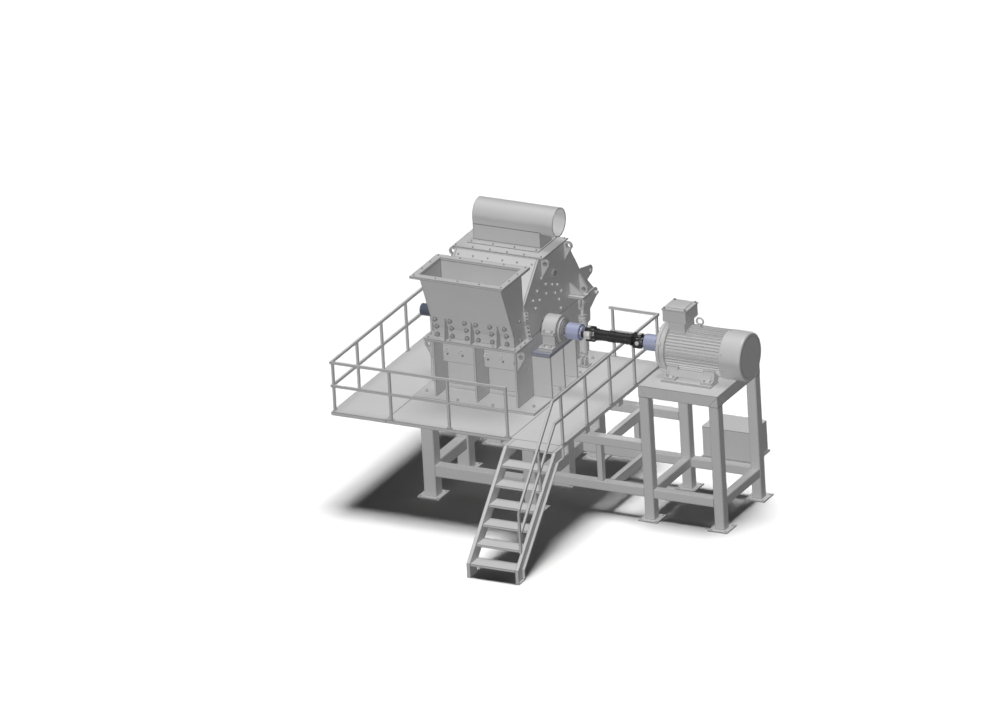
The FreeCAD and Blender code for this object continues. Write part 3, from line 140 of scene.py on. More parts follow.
def enamel_wear_and_edge_shade():
    """Node group: mottled colour, settled dust, painted shade along edges and in creases, dull
    patches and grain.
    """
    group = bpy.data.node_groups.new("enamel_wear_and_edge_shade", "ShaderNodeTree")
    socket(group, "Colour", "INPUT", "NodeSocketColor", (0.5, 0.5, 0.5, 1))
    socket(group, "Base roughness", "INPUT", "NodeSocketFloat", 0.5)
    socket(group, "Mottle", "INPUT", "NodeSocketFloat", 0.05)
    socket(group, "Dust", "INPUT", "NodeSocketFloat", 0.1)
    socket(group, "Grain", "INPUT", "NodeSocketFloat", 0.3)
    socket(group, "Edge shade width", "INPUT", "NodeSocketFloat", EDGE_SHADE_WIDTH)
    for name, kind in (("Colour", "NodeSocketColor"), ("Roughness", "NodeSocketFloat"),
                       ("Height", "NodeSocketFloat")):
        socket(group, name, "OUTPUT", kind)
    nodes, links = group.nodes, group.links
    given = nodes.new("NodeGroupInput")
    result = nodes.new("NodeGroupOutput")
    place = nodes.new("ShaderNodeTexCoord")

    def noise(scale, detail, stretch=(1, 1, 1)):
        turn = nodes.new("ShaderNodeMapping")
        turn.inputs["Scale"].default_value = stretch
        links.new(place.outputs["Object"], turn.inputs["Vector"])
        cloud = nodes.new("ShaderNodeTexNoise")
        cloud.inputs["Scale"].default_value = scale
        cloud.inputs["Detail"].default_value = detail
        links.new(turn.outputs[0], cloud.inputs["Vector"])
        return cloud.outputs[0]

    def sum_up(kind, first, second):
        step = nodes.new("ShaderNodeMath")
        step.operation = kind
        for value, plug in ((first, step.inputs[0]), (second, step.inputs[1])):
            if isinstance(value, (int, float)):
                plug.default_value = value
            else:
                links.new(value, plug)
        return step.outputs[0]

    def blend(kind, factor, first, second):
        mix = nodes.new("ShaderNodeMix")
        mix.data_type = "RGBA"
        mix.blend_type = kind
        # For colours, plugs 6 and 7 are the two inputs and plug 2 the output
        for value, plug in ((factor, mix.inputs[0]), (first, mix.inputs[6]),
                            (second, mix.inputs[7])):
            if isinstance(value, (float, tuple)):
                plug.default_value = value
            else:
                links.new(value, plug)
        return mix.outputs[2]

    broad = noise(1.7, 4.0)
    streak = noise(9.0, 3.0, (1.0, 1.0, 0.12))
    fine = noise(70.0, 3.0)
    grain = noise(320.0, 2.0)
    cloud = sum_up("SUBTRACT", sum_up("MULTIPLY", broad, 1.2), 0.6)
    cloud = sum_up("ADD", cloud, sum_up("SUBTRACT", sum_up("MULTIPLY", streak, 0.6), 0.3))
    shade = sum_up("ADD", sum_up("MULTIPLY", cloud, given.outputs["Mottle"]), 1.0)
    grey = nodes.new("ShaderNodeCombineColor")
    for plug in grey.inputs[:3]:
        links.new(shade, plug)
    colour = blend("MULTIPLY", 1.0, given.outputs["Colour"], grey.outputs[0])
    facing = nodes.new("ShaderNodeNewGeometry")
    axes = nodes.new("ShaderNodeSeparateXYZ")
    links.new(facing.outputs["Normal"], axes.inputs[0])
    settled = sum_up("MULTIPLY", sum_up("MAXIMUM", axes.outputs["Z"], 0.0), broad)
    settled = sum_up("MULTIPLY", settled, given.outputs["Dust"])
    colour = blend("MIX", settled, colour, DUST_COLOUR)
    # Painted shade: the colour is darkened along edges and in creases, where the bevelled
    # normal turns away from the true one
    edge_shade_bevel = nodes.new("ShaderNodeBevel")
    edge_shade_bevel.samples = 4
    links.new(given.outputs["Edge shade width"], edge_shade_bevel.inputs["Radius"])
    match = nodes.new("ShaderNodeVectorMath")
    match.operation = "DOT_PRODUCT"
    links.new(edge_shade_bevel.outputs["Normal"], match.inputs[0])
    links.new(facing.outputs["Normal"], match.inputs[1])
    edge = sum_up("MULTIPLY", sum_up("SUBTRACT", 1.0, match.outputs["Value"]), EDGE_SHADE_GAIN)
    after_edge_shade = nodes.new("ShaderNodeCombineColor")
    for plug in after_edge_shade.inputs[:3]:
        links.new(sum_up("SUBTRACT", 1.0, sum_up("MINIMUM", edge, EDGE_SHADE)), plug)
    colour = blend("MULTIPLY", 1.0, colour, after_edge_shade.outputs[0])
    links.new(colour, result.inputs["Colour"])
    dull = sum_up("MULTIPLY", sum_up("SUBTRACT", fine, 0.5), 0.25)
    links.new(sum_up("ADD", given.outputs["Base roughness"], dull), result.inputs["Roughness"])
    height = sum_up("ADD", sum_up("MULTIPLY", fine, 0.5), sum_up("MULTIPLY", grain, 0.5))
    links.new(sum_up("MULTIPLY", height, given.outputs["Grain"]), result.inputs["Height"])
    return group


WEAR_AND_EDGE_SHADE = enamel_wear_and_edge_shade()


def finish(name, colour, roughness, metallic, mottle, dust, grain, edge=EDGE_SHADE_WIDTH):
    """One material made with the shared group of wear and painted edge shade; edge sets the
    width of that painted shade.
    """
    made = bpy.data.materials.new(name)
    made.use_nodes = True
    nodes, links = made.node_tree.nodes, made.node_tree.links
    shader = nodes["Principled BSDF"]
    shader.inputs["Metallic"].default_value = metallic
    shader.inputs["Specular IOR Level"].default_value = 0.5
    # The group's colour carries painted shade along edges and in creases, beside its mottle and
    # dust
    wear = nodes.new("ShaderNodeGroup")
    wear.node_tree = WEAR_AND_EDGE_SHADE
    for field, value in (("Colour", (*colour, 1)), ("Base roughness", roughness),
                         ("Mottle", mottle), ("Dust", dust), ("Grain", grain),
                         ("Edge shade width", edge)):
        wear.inputs[field].default_value = value
    bump = nodes.new("ShaderNodeBump")
    bump.inputs["Strength"].default_value = 0.12
    bump.inputs["Distance"].default_value = 0.002
    links.new(wear.outputs["Colour"], shader.inputs["Base Color"])
    links.new(wear.outputs["Roughness"], shader.inputs["Roughness"])
    links.new(wear.outputs["Height"], bump.inputs["Height"])
    links.new(bump.outputs[0], shader.inputs["Normal"])
    return made


MATERIALS = {slot: finish(slot, *values, edge=EDGE_SHADE_WIDTHS.get(slot, EDGE_SHADE_WIDTH))
             for slot, values in FINISHES.items()}
BOLTS = finish("bolt_steel", *BOLT_STEEL, edge=BOLT_EDGE_SHADE)
DARK_BOLTS = finish("liner_bolt_heads", *DARK_STEEL, edge=BOLT_EDGE_SHADE)
SHAFT_END = finish("shaft_blue", *SHAFT_BLUE, edge=BOLT_EDGE_SHADE)


def dress_cad_nodes():
    """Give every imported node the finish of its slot."""
    for part in frame["record"]["subparts"]:
        mesh = frame["nodes"][part["node"]].data
        mesh.materials.clear()
        mesh.materials.append(MATERIALS[part["material_slot"]])


def clear_selection():
    """Leave nothing selected."""
    bpy.ops.object.select_all(action="DESELECT")


def select_faces(test):
    """In edit mode, select the faces that pass a test."""
    mesh = bmesh.from_edit_mesh(bpy.context.object.data)
    for face in mesh.faces:
        face.select = bool(test(face))
    mesh.select_flush_mode()
    bmesh.update_edit_mesh(bpy.context.object.data)


def join_all(pieces):
    """Several pieces as one, its place in its mesh."""
    clear_selection()
    for piece in pieces:
        piece.select_set(True)
    bpy.context.view_layer.objects.active = pieces[0]
    if len(pieces) > 1:
        bpy.ops.object.join()
    bpy.ops.object.transform_apply(location=True, rotation=True, scale=True)
    return bpy.context.object


def turned_to(piece, point, toward):
    """Stand a piece on a point, facing a direction, with its place in its mesh."""
    turn = UP.rotation_difference(toward).to_matrix().to_4x4()
    piece.matrix_world = Matrix.Translation(point) @ turn
    return join_all([piece])


def rolled(piece, point, angle):
    """Turn a piece about the X axis and set it down at a point."""
    piece.matrix_world = Matrix.Translation(point) @ Matrix.Rotation(angle, 4, "X")
    return join_all([piece])


def settle(piece, name, body, slot, material=None):
    """Name a finished piece, give it its finish and let it ride on its body."""
    clear_selection()
    piece.select_set(True)
    bpy.context.view_layer.objects.active = piece
    bpy.ops.object.shade_smooth_by_angle(angle=SMOOTH_ANGLE)
    piece.name = name
    piece.data.materials.clear()
    piece.data.materials.append(material or MATERIALS[slot])
    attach(piece, body)
    return piece


def drum(radius, depth, sides=32, bevel=0.0, segments=2):
    """A round standing on the XY plane with its top edge bevelled."""
    clear_selection()
    bpy.ops.mesh.primitive_cylinder_add(vertices=sides, radius=radius, depth=depth,
                                        location=(0, 0, depth / 2))
    bpy.ops.object.transform_apply(location=True)
    if bevel:
        bpy.ops.object.mode_set(mode="EDIT")
        select_faces(lambda face: face.normal.z > 0.9)
        bpy.ops.mesh.bevel(offset=bevel, segments=segments, affect="EDGES")
        bpy.ops.object.mode_set(mode="OBJECT")
    return bpy.context.object


def flat_ring(outer, inner, depth, bevel=0.004, sides=64):
    """A flat ring with an open bore, standing on the XY plane."""
    clear_selection()
    bpy.ops.mesh.primitive_circle_add(vertices=sides, radius=outer)
    bpy.ops.object.mode_set(mode="EDIT")
    bpy.ops.mesh.select_all(action="SELECT")
    bpy.ops.mesh.extrude_edges_move()
    bpy.ops.transform.resize(value=(inner / outer, inner / outer, 1))
    bpy.ops.mesh.select_all(action="SELECT")
    bpy.ops.mesh.extrude_region_move(TRANSFORM_OT_translate={"value": (0, 0, depth)})
    bpy.ops.mesh.select_all(action="SELECT")
    bpy.ops.mesh.normals_make_consistent(inside=False)
    select_faces(lambda face: face.normal.z > 0.9)
    bpy.ops.mesh.region_to_loop()
    bpy.ops.mesh.bevel(offset=bevel, segments=2, affect="EDGES")
    bpy.ops.object.mode_set(mode="OBJECT")
    return bpy.context.object


def hex_bolt(across, stud=True):
    """A hexagon nut or head on its washer, the nut with its stud's end above it."""
    washer = drum(across * 0.66, across * 0.12, 20)
    head = drum(across * 0.577, across * 0.62, 6, across * 0.07, 1)
    head.location.z = across * 0.12
    pieces = [washer, head]
    if stud:
        end = drum(across * 0.30, across * 0.30, 14, across * 0.04, 1)
        end.location.z = across * 0.72
        pieces.append(end)
    return join_all(pieces)


def cap_bolt(across):
    """A heavy round-headed liner bolt on a thick washer."""
    washer = drum(across * 0.60, across * 0.12, 20, across * 0.03, 1)
    head = drum(across * 0.47, across * 0.58, 20, across * 0.16, 3)
    head.location.z = across * 0.12
    return join_all([washer, head])


def socket_screw(across):
    """A small cylinder screw with a recess in its top."""
    head = drum(across * 0.5, across * 0.5, 18, across * 0.05, 1)
    bpy.ops.object.mode_set(mode="EDIT")
    select_faces(lambda face: face.normal.z > 0.9 and face.calc_area() > across ** 2 * 0.1)
    bpy.ops.mesh.inset(thickness=across * 0.18)
    bpy.ops.mesh.extrude_region_move(TRANSFORM_OT_translate={"value": (0, 0, -across * 0.25)})
    bpy.ops.object.mode_set(mode="OBJECT")
    return head


def spread(name, model, places, body, slot, material=None):
    """Copies of one model, each standing on a point and facing away from it."""
    copies = []
    for point, toward in places:
        copy = model.copy()
        copy.data = model.data.copy()
        bpy.context.collection.objects.link(copy)
        turn = UP.rotation_difference(toward).to_matrix().to_4x4()
        copy.matrix_world = Matrix.Translation(point) @ turn
        copies.append(copy)
    bpy.data.objects.remove(model)
    return settle(join_all(copies), name, body, slot, material)


def slab(low, high, bevel=0.004):
    """A plate between two corners with its edges bevelled."""
    clear_selection()
    middle = (Vector(low) + Vector(high)) / 2
    bpy.ops.mesh.primitive_cube_add(size=1, location=middle)
    plate = bpy.context.object
    plate.scale = Vector(high) - Vector(low)
    bpy.ops.object.transform_apply(location=True, rotation=True, scale=True)
    bpy.ops.object.mode_set(mode="EDIT")
    bpy.ops.mesh.select_all(action="SELECT")
    bpy.ops.mesh.bevel(offset=bevel, segments=2, affect="EDGES")
    bpy.ops.object.mode_set(mode="OBJECT")
    return plate


def ring(major, minor, centre, toward, sides=36):
    """A round bar bent to a ring about an axis."""
    clear_selection()
    bpy.ops.mesh.primitive_torus_add(major_radius=major, minor_radius=minor,
                                     major_segments=sides, minor_segments=12)
    return turned_to(bpy.context.object, centre, toward)


def bar(points, radius):
    """A round bar in straight runs from point to point, with closed ends."""
    clear_selection()
    curve = bpy.data.curves.new("bar", "CURVE")
    curve.dimensions = "3D"
    curve.bevel_depth = radius
    curve.bevel_resolution = 3
    curve.use_fill_caps = True
    line = curve.splines.new("POLY")
    line.points.add(len(points) - 1)
    for spot, point in zip(line.points, points):
        spot.co = (*point, 1)
    piece = bpy.data.objects.new("bar", curve)
    bpy.context.collection.objects.link(piece)
    piece.select_set(True)
    bpy.context.view_layer.objects.active = piece
    bpy.ops.object.convert(target="MESH")
    return bpy.context.object


def hopper_fixings():
    """Bolts of the mouth flange, the wear liners and the base flange."""
    low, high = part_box("hopper_mouth_flange")
    edge, top = 0.055, high.z
    spots = [(Vector((x, y, top)), UP) for y in (low.y + edge, high.y - edge)
             for x in spaced(low.x + edge, high.x - edge, 5)]
    spots += [(Vector((x, y, top)), UP) for x in (low.x + edge, high.x - edge)
              for y in spaced(low.y + edge, high.y - edge, 4)[1:-1]]
    spread("mouth_flange_bolts", hex_bolt(0.024), spots, "frame", "hopper_paint", BOLTS)
    low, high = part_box("hopper_body")
    bend, foot_y, lip_y = 3.05, DECK_Y + 1.13, low.y
    lean = (foot_y - lip_y) / (high.z - bend)
    out = Vector((0, -1, -lean)).normalized()
    spots = []
    columns, rows = (1.49, 1.765, 2.04, 2.25, 2.51, 2.785), (2.915, 3.065, 3.215)
    for x in columns:
        for z in rows:
            y = foot_y - max(0.0, z - bend) * lean
            spots.append((Vector((DECK_X + x, y, z)), FRONT if z < bend else out))
    spread("hopper_liner_bolts", cap_bolt(0.070), spots, "frame", "hopper_paint", DARK_BOLTS)
    spots = []
    for side, x in ((RIGHT, high.x), (LEFT, low.x)):
        for z in (2.93, 3.27):
            spots.append((Vector((x, DECK_Y + 1.31, z)), side))
    spread("hopper_side_bolts", cap_bolt(0.060), spots, "frame", "hopper_paint", DARK_BOLTS)
    low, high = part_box("hopper_base_flange")
    spots = [(Vector((x, low.y + 0.05, high.z)), UP)
             for x in spaced(low.x + 0.06, high.x - 0.06, 5)]
    for x in (low.x + 0.035, high.x - 0.035):
        spots += [(Vector((x, y, high.z)), UP)
                  for y in spaced(low.y + 0.20, high.y - 0.06, 3)]
    spread("base_flange_bolts", hex_bolt(0.028), spots, "frame", "hopper_paint", BOLTS)
    under = [(at(x, 1.345, low.z), -UP) for x in (1.44, 1.71, 1.98, 2.18, 2.45, 2.72)]
    spread("base_flange_nuts", hex_bolt(0.046), under, "frame", "hopper_paint", DARK_BOLTS)


def front_fittings():
    """Eye bolts, screws and sill strips on the lower front, and its small handle bar."""
    panel_y, eye_z, screw_z = 1.40, 2.545, 2.457
    eyes = []
    turned = Vector((0.7, -0.7, 0.0)).normalized()
    for x in (1.50, 1.78, 2.255, 2.535):
        eyes.append(ring(0.031, 0.011, at(x, panel_y - 0.055, eye_z), turned, 24))
        eyes.append(turned_to(drum(0.012, 0.030, 14), at(x, panel_y, eye_z), FRONT))
    settle(join_all(eyes), "front_panel_eyes", "frame", "mill_paint", BOLTS)
    spots = [(at(x, panel_y, screw_z), FRONT) for x in (1.51, 1.79, 2.265, 2.545, 2.76)]
    spread("front_panel_screws", hex_bolt(0.026), spots, "frame", "mill_paint", DARK_BOLTS)
    strips = []
    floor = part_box("base_plate")[1].z
    low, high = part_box("lower_front")
    middle = (low.x + high.x) / 2
    sill_front, sill_rear, sill_top = DECK_Y + 1.520, DECK_Y + 1.539, floor + 0.09
    for x0, x1 in ((low.x + 0.004, middle - 0.024), (middle + 0.024, high.x - 0.004)):
        strips.append(slab((x0, sill_front, floor), (x1, sill_rear, sill_top)))
    settle(join_all(strips), "front_sill_strips", "frame", "mill_paint")
    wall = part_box("lower_side_right")[1].x
    x = wall + 0.022
    y0, y1, z0, z1 = DECK_Y + 1.41, DECK_Y + 1.60, 2.325, 2.50
    loop = bar([(wall - 0.004, y0, z1), (x, y0, z1), (x, y0, z0), (x, y1, z0),
                (x, y1, z1 - 0.06), (wall - 0.004, y1, z1 - 0.06)], 0.011)
    settle(loop, "side_handle_bar", "frame", "mill_paint")


def joint_strips():
    """Bolted strips beside the joint of hopper and hood, the lower ones slanting."""
    wide = 0.105
    for word, side, wall in (("right", 1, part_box("hopper_body")[1].x),
                             ("left", -1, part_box("hopper_body")[0].x)):
        pieces = []
        for y0, z0, y1, z1 in ((1.572, 2.875, 1.512, 3.13), (1.500, 3.19, 1.500, 3.38)):
            run = Vector((0, y1 - y0, z1 - z0))
            strip = slab((0, -0.006, 0), (wide, 0.006, run.length), 0.003)
            foot = Vector((wall if side > 0 else wall - wide, DECK_Y + y0 - 0.008, z0))
            pieces.append(turned_to(strip, foot, run.normalized()))
            for share in (0.18, 0.5, 0.82):
                point = Vector((wall + side * 0.07, DECK_Y + y0 - 0.014, z0)) + run * share
                pieces.append(turned_to(hex_bolt(0.026), point, FRONT))
        settle(join_all(pieces), "joint_strip_" + word, "frame", "hopper_paint")


def hood_fixings():
    """Liner bolts on the hood's sides, bolts of its slope and top, screws of its bosses."""
    spots = []
    # The liner bolts' places, from the deck's front and from the ground
    liner = [(2.141, 3.722), (2.293, 3.560), (2.518, 3.465), (2.699, 3.393), (1.971, 3.559),
             (2.292, 3.390), (2.610, 3.276), (2.822, 3.229), (1.805, 3.448), (2.042, 3.372),
             (1.880, 3.284), (2.734, 3.109), (2.781, 2.936)]
    right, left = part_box("lower_side_right")[1].x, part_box("lower_side_left")[0].x
    for side, x in ((RIGHT, right), (LEFT, left)):
        spots += [(Vector((x, DECK_Y + y, z)), side) for y, z in liner]
    spread("hood_liner_bolts", cap_bolt(0.050), spots, "hood", "mill_paint", BOLTS)
    low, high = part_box("hood_front_slope")
    slope = Vector((0, -1, 1)).normalized()
    start = Vector((0, DECK_Y + 1.515, 3.477))
    climb = Vector((0, 0.591, 0.593))
    spots = []
    for x in spaced(low.x + 0.06, high.x - 0.06, 6):
        for share in (0.12, 0.88):
            spots.append((Vector((x, 0, 0)) + start + climb * share, slope))
    spread("hood_slope_bolts", hex_bolt(0.026), spots, "hood", "mill_paint", BOLTS)
    low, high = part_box("hood_top")
    spots = [(Vector((x, y, high.z)), UP) for y in (low.y + 0.04, high.y - 0.04)
             for x in spaced(low.x + 0.05, high.x - 0.05, 6)]
    low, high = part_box("duct_box")
    flange_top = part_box("hood_top")[1].z + 0.015
    spots += [(Vector((x, y, flange_top)), UP) for y in (low.y + 0.04, high.y - 0.04)
              for x in spaced(low.x + 0.06, high.x - 0.06, 4)]
    spread("hood_top_bolts", hex_bolt(0.026), spots, "hood", "mill_paint", BOLTS)
    bosses = [(Vector((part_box(node)[end].x, DECK_Y + BOSS_Y, BOSS_Z)), side)
              for node, end, side in (("hood_side_right", 1, RIGHT),
                                      ("hood_side_left", 0, LEFT))]
    spots = [(point, side) for centre, side in bosses
             for point in around(centre, 0.066, EIGHTHS)]
    spread("boss_screws", hex_bolt(0.018, False), spots, "hood", "mill_paint", BOLTS)
    caps = [turned_to(drum(0.046, 0.010, 32, 0.003), centre, side) for centre, side in bosses]
    settle(join_all(caps), "boss_centres", "hood", "sole_blue")


def pipe_rims():
    """Rolled rims at the exhaust pipe's ends."""
    low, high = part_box("exhaust_pipe")
    centre = (low + high) / 2
    radius = (high.z - low.z) / 2
    inset = 0.009
    rims = [ring(radius - inset, 0.008, Vector((x, centre.y, centre.z)), RIGHT, 64)
            for x in (low.x + inset, high.x - inset)]
    settle(join_all(rims), "pipe_rims", "hood", "mill_paint")


def bearing_fixings():
    """Foot and cap bolts, seal rings, lugs and grease nipples of the two bearings."""
    low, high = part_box("bearing_blocks")
    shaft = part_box("cardan_shaft")
    axis_y, axis_z = (shaft[0].y + shaft[1].y) / 2, (shaft[0].z + shaft[1].z) / 2
    middle = (low.x + high.x) / 2
    foot_top, bolt_out = low.z + 0.065, 0.325
    # Where each block begins and ends, from the middle between the two
    near, far = 0.855, 1.135
    spots = [(Vector((middle + side * reach, axis_y + way * bolt_out, foot_top)), UP)
             for side in (1, -1) for reach in (near + 0.08, far - 0.08) for way in (-1, 1)]
    spread("bearing_foot_bolts", hex_bolt(0.052), spots, "frame", "bearing_paint", BOLTS)
    rings = []
    for side, facing in ((1, RIGHT), (-1, LEFT)):
        # Each ring's two radii, its distance from the block and its depth
        for outer, inner, start, deep in ((0.205, 0.106, 0.0075, 0.034),
                                          (0.172, 0.108, 0.0395, 0.020),
                                          (0.140, 0.110, 0.0575, 0.016)):
            seat = Vector((middle + side * (far + start), axis_y, axis_z))
            rings.append(turned_to(flat_ring(outer, inner, deep, 0.005), seat, facing))
    settle(join_all(rings), "bearing_seal_rings", "frame", "bearing_paint")
    spots = [(Vector((middle + side * (near + far) / 2, axis_y + 0.035, high.z - 0.004)), UP)
             for side in (1, -1)]
    spread("grease_nipples", socket_screw(0.026), spots, "frame", "bearing_paint", BOLTS)
    lugs, long, half_high = [], 0.24, 0.035
    for side in (1, -1):
        x0 = middle + side * near + (0.02 if side > 0 else -0.02 - long)
        for way in (-1, 1):
            y0, y1 = sorted((axis_y + way * 0.225, axis_y + way * 0.285))
            lugs.append(slab((x0, y0, axis_z - half_high),
                             (x0 + long, y1, axis_z + half_high), 0.010))
    settle(join_all(lugs), "bearing_cap_lugs", "frame", "bearing_paint")
    spots = [(Vector((middle + side * reach, axis_y + way * 0.262, axis_z + half_high)), UP)
             for side in (1, -1) for reach in (near + 0.07, far - 0.07) for way in (-1, 1)]
    spread("bearing_cap_bolts", hex_bolt(0.036), spots, "frame", "bearing_paint", BOLTS)


def base_fixings():
    """Bolts that hold the crusher's base plate and the railing posts."""
    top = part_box("base_plate")[1].z
    # The base plate's bolts, from the deck's corner
    places = [(1.16, 1.24), (1.16, 3.43), (3.16, 3.43), (3.155, 1.24), (1.83, 1.05),
              (2.49, 1.05), (1.16, 2.05), (1.16, 2.80), (3.24, 2.05), (3.24, 2.80)]
    spots = [(at(x, y, top), UP) for x, y in places]
    spread("base_plate_bolts", hex_bolt(0.040), spots, "frame", "mill_paint", BOLTS)
    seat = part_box("deck_centre_panel")[1].z + 0.008
    screws = []
    for name in ("railing_left", "railing_right"):
        low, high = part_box(name)
        x = (low.x + high.x) / 2
        for y in spaced(low.y + 0.066, high.y - 0.066, 5):
            screws += [(Vector((x, y + way * 0.038, seat)), UP) for way in (-1, 1)]
    low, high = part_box("railing_front")
    y = (low.y + high.y) / 2
    first, last = 0.03, 3.281
    for i in (1, 2, 3):
        x = DECK_X + first + i * (last - first) / 3
        screws += [(Vector((x + way * 0.038, y, seat)), UP) for way in (-1, 1)]
    spread("railing_screws", hex_bolt(0.014, False), screws, "frame", "rail_paint", BOLTS)


def drive_fittings():
    """Joint ears and caps, hub plate and screws, shaft bands, sleeve of the free end."""
    low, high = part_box("joint_crosses")
    axis = (low + high) / 2
    reach = (high.y - low.y) / 2
    caps = []
    for x in (low.x + 0.04, high.x - 0.04):
        for way in (-FRONT, FRONT, UP, -UP):
            caps.append((Vector((x, axis.y, axis.z)) + way * (reach - 0.008), way))
    spread("cross_caps", drum(0.037, 0.022, 24, 0.004), caps, "rotor", "cross_steel")
    # Start and end of each pair from the deck's corner, its quarter turns, its colour:
    # turns 0 and 2 lie above and below, turns 1 and 3 before and behind
    black, light = [], []
    for x0, x1, turns, ears in ((3.755, 3.928, (0, 2), black), (3.748, 3.862, (1, 3), light),
                                (4.622, 4.795, (0, 2), black), (4.702, 4.843, (1, 3), black)):
        for turn in turns:
            ear = slab((DECK_X + x0, -0.062, 0.057), (DECK_X + x1, 0.062, 0.122), 0.014)
            ears.append(rolled(ear, Vector((0, axis.y, axis.z)), turn * math.pi / 2))
    settle(join_all(black), "yoke_ears_black", "rotor", "cardan_black")
    settle(join_all(light), "yoke_ears_light", "rotor", "cross_steel")
    plate = turned_to(drum(0.1025, 0.036, 48, 0.004),
                      Vector((DECK_X + 3.657, axis.y, axis.z)), RIGHT)
    settle(plate, "hub_end_plate", "rotor", "hub_steel")
    spots = []
    for x, facing in ((DECK_X + 3.66, RIGHT), (DECK_X + 4.865, LEFT)):
        circle = around(Vector((x, axis.y, axis.z)), 0.119, EIGHTHS)
        spots += [(point, facing) for point in circle]
    spread("hub_screws", hex_bolt(0.020, False), spots, "rotor", "hub_steel")
    rings = [ring(0.0925, 0.006, Vector((DECK_X + x, axis.y, axis.z)), RIGHT, 48)
             for x in (4.02, 4.19, 4.29, 4.52)]
    settle(join_all(rings), "cardan_bands", "rotor", "cardan_black")
    seat = Vector((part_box("rotor_shaft")[0].x + 0.260, axis.y, axis.z))
    sleeve = turned_to(drum(0.104, 0.258, 48, 0.006), seat, LEFT)
    settle(sleeve, "shaft_end_sleeve", "rotor", "sole_blue", SHAFT_END)


def motor_axis():
    """Where the line that the motor turns about lies, across and up."""
    low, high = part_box("motor_end_shield")
    return (low.y + high.y) / 2, (low.z + high.z) / 2


def motor_shield_fittings():
    """The motor's lifting eye, rim, lugs and screws of its shield, plate of its fan end."""
    axis_y, axis_z = motor_axis()
    eye_x = DECK_X + 5.885
    top = axis_z + 0.407
    parts = [ring(0.060, 0.017, Vector((eye_x, axis_y, top + 0.105)), FRONT, 40)]
    for radius, depth, z in ((0.045, 0.022, top - 0.006), (0.026, 0.045, top + 0.012)):
        collar = drum(radius, depth, 28, 0.004)
        collar.location = (eye_x, axis_y, z)
        parts.append(join_all([collar]))
    settle(join_all(parts), "motor_lifting_eye", "frame", "motor_paint")
    circle = around(Vector((DECK_X + 5.2275, axis_y, axis_z)), 0.375,
                    [turn + math.tau / 16 for turn in EIGHTHS])
    spots = [(point, LEFT) for point in circle]
    spread("shield_screws", hex_bolt(0.030), spots, "frame", "motor_paint", BOLTS)
    rim = turned_to(flat_ring(0.402, 0.150, 0.058, 0.012, 96),
                    Vector((DECK_X + 5.2855, axis_y, axis_z)), LEFT)
    settle(rim, "motor_shield_rim", "frame", "motor_paint")
    lugs = []
    for turn in (65, 155, 245, 335):
        lug = slab((DECK_X + 5.240, -0.030, 0.385), (DECK_X + 5.335, 0.030, 0.436), 0.006)
        lugs.append(rolled(lug, Vector((0, axis_y, axis_z)), math.radians(turn)))
    settle(join_all(lugs), "motor_shield_lugs", "frame", "motor_paint")
    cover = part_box("motor_fan_cover")
    spots = []
    for turn in (20, 90, 160, 200, 340):
        angle = math.radians(turn)
        way = Vector((0, math.cos(angle), math.sin(angle)))
        spots.append((Vector((cover[0].x + 0.05, axis_y, axis_z)) + way * 0.419, way))
    spread("fan_cover_screws", socket_screw(0.030), spots, "frame", "motor_paint", BOLTS)
    end = turned_to(drum(0.352, 0.0185, 96, 0.004, 1),
                    Vector((cover[1].x - 0.020, axis_y, axis_z)), RIGHT)
    settle(end, "fan_end_plate", "frame", "motor_paint")


def terminal_box_fittings():
    """Raised lid with its screws, and the foot of the terminal box."""
    low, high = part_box("terminal_box")
    spots = [(Vector((x, y, high.z)), UP) for x in (low.x + 0.035, high.x - 0.035)
             for y in (low.y + 0.035, high.y - 0.035)]
    spread("terminal_lid_screws", hex_bolt(0.032, False), spots, "frame", "motor_paint",
           DARK_BOLTS)
    lid = slab((low.x + 0.07, low.y + 0.07, high.z - 0.002),
               (high.x - 0.07, high.y - 0.07, high.z + 0.012))
    foot = slab((low.x + 0.012, low.y + 0.012, low.z - 0.012),
                (high.x - 0.012, high.y - 0.012, low.z + 0.010))
    settle(join_all([lid, foot]), "terminal_box_trim", "frame", "motor_paint")


def motor_foot_fittings():
    """Bolts and webs of the motor's feet, and strips along its slide rails."""
    axis_y = motor_axis()[0]
    rail_low, rail_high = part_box("motor_slide_rails")
    seat = rail_high.z + 0.035
    spots = [(Vector((DECK_X + x, axis_y + way * 0.435, seat)), UP)
             for x in (5.45, 5.56, 6.13, 6.24) for way in (-1, 1)]
    spread("motor_foot_bolts", hex_bolt(0.034), spots, "frame", "motor_paint", BOLTS)
    webs = []
    for way in (-1, 1):
        web = slab((DECK_X + 5.46, -0.008, 0.0), (DECK_X + 6.23, 0.008, 0.135), 0.003)
        point = Vector((0, axis_y + way * 0.395, seat - 0.002))
        webs.append(rolled(web, point, math.radians(28 * way)))
    settle(join_all(webs), "motor_foot_webs", "frame", "motor_paint")
    strips = [slab((rail_low.x, y0, rail_high.z), (rail_high.x, y0 + 0.02, rail_high.z + 0.012))
              for y0 in (rail_low.y + 0.012, rail_high.y - 0.032)]
    settle(join_all(strips), "slide_rail_strips", "frame", "motor_paint")


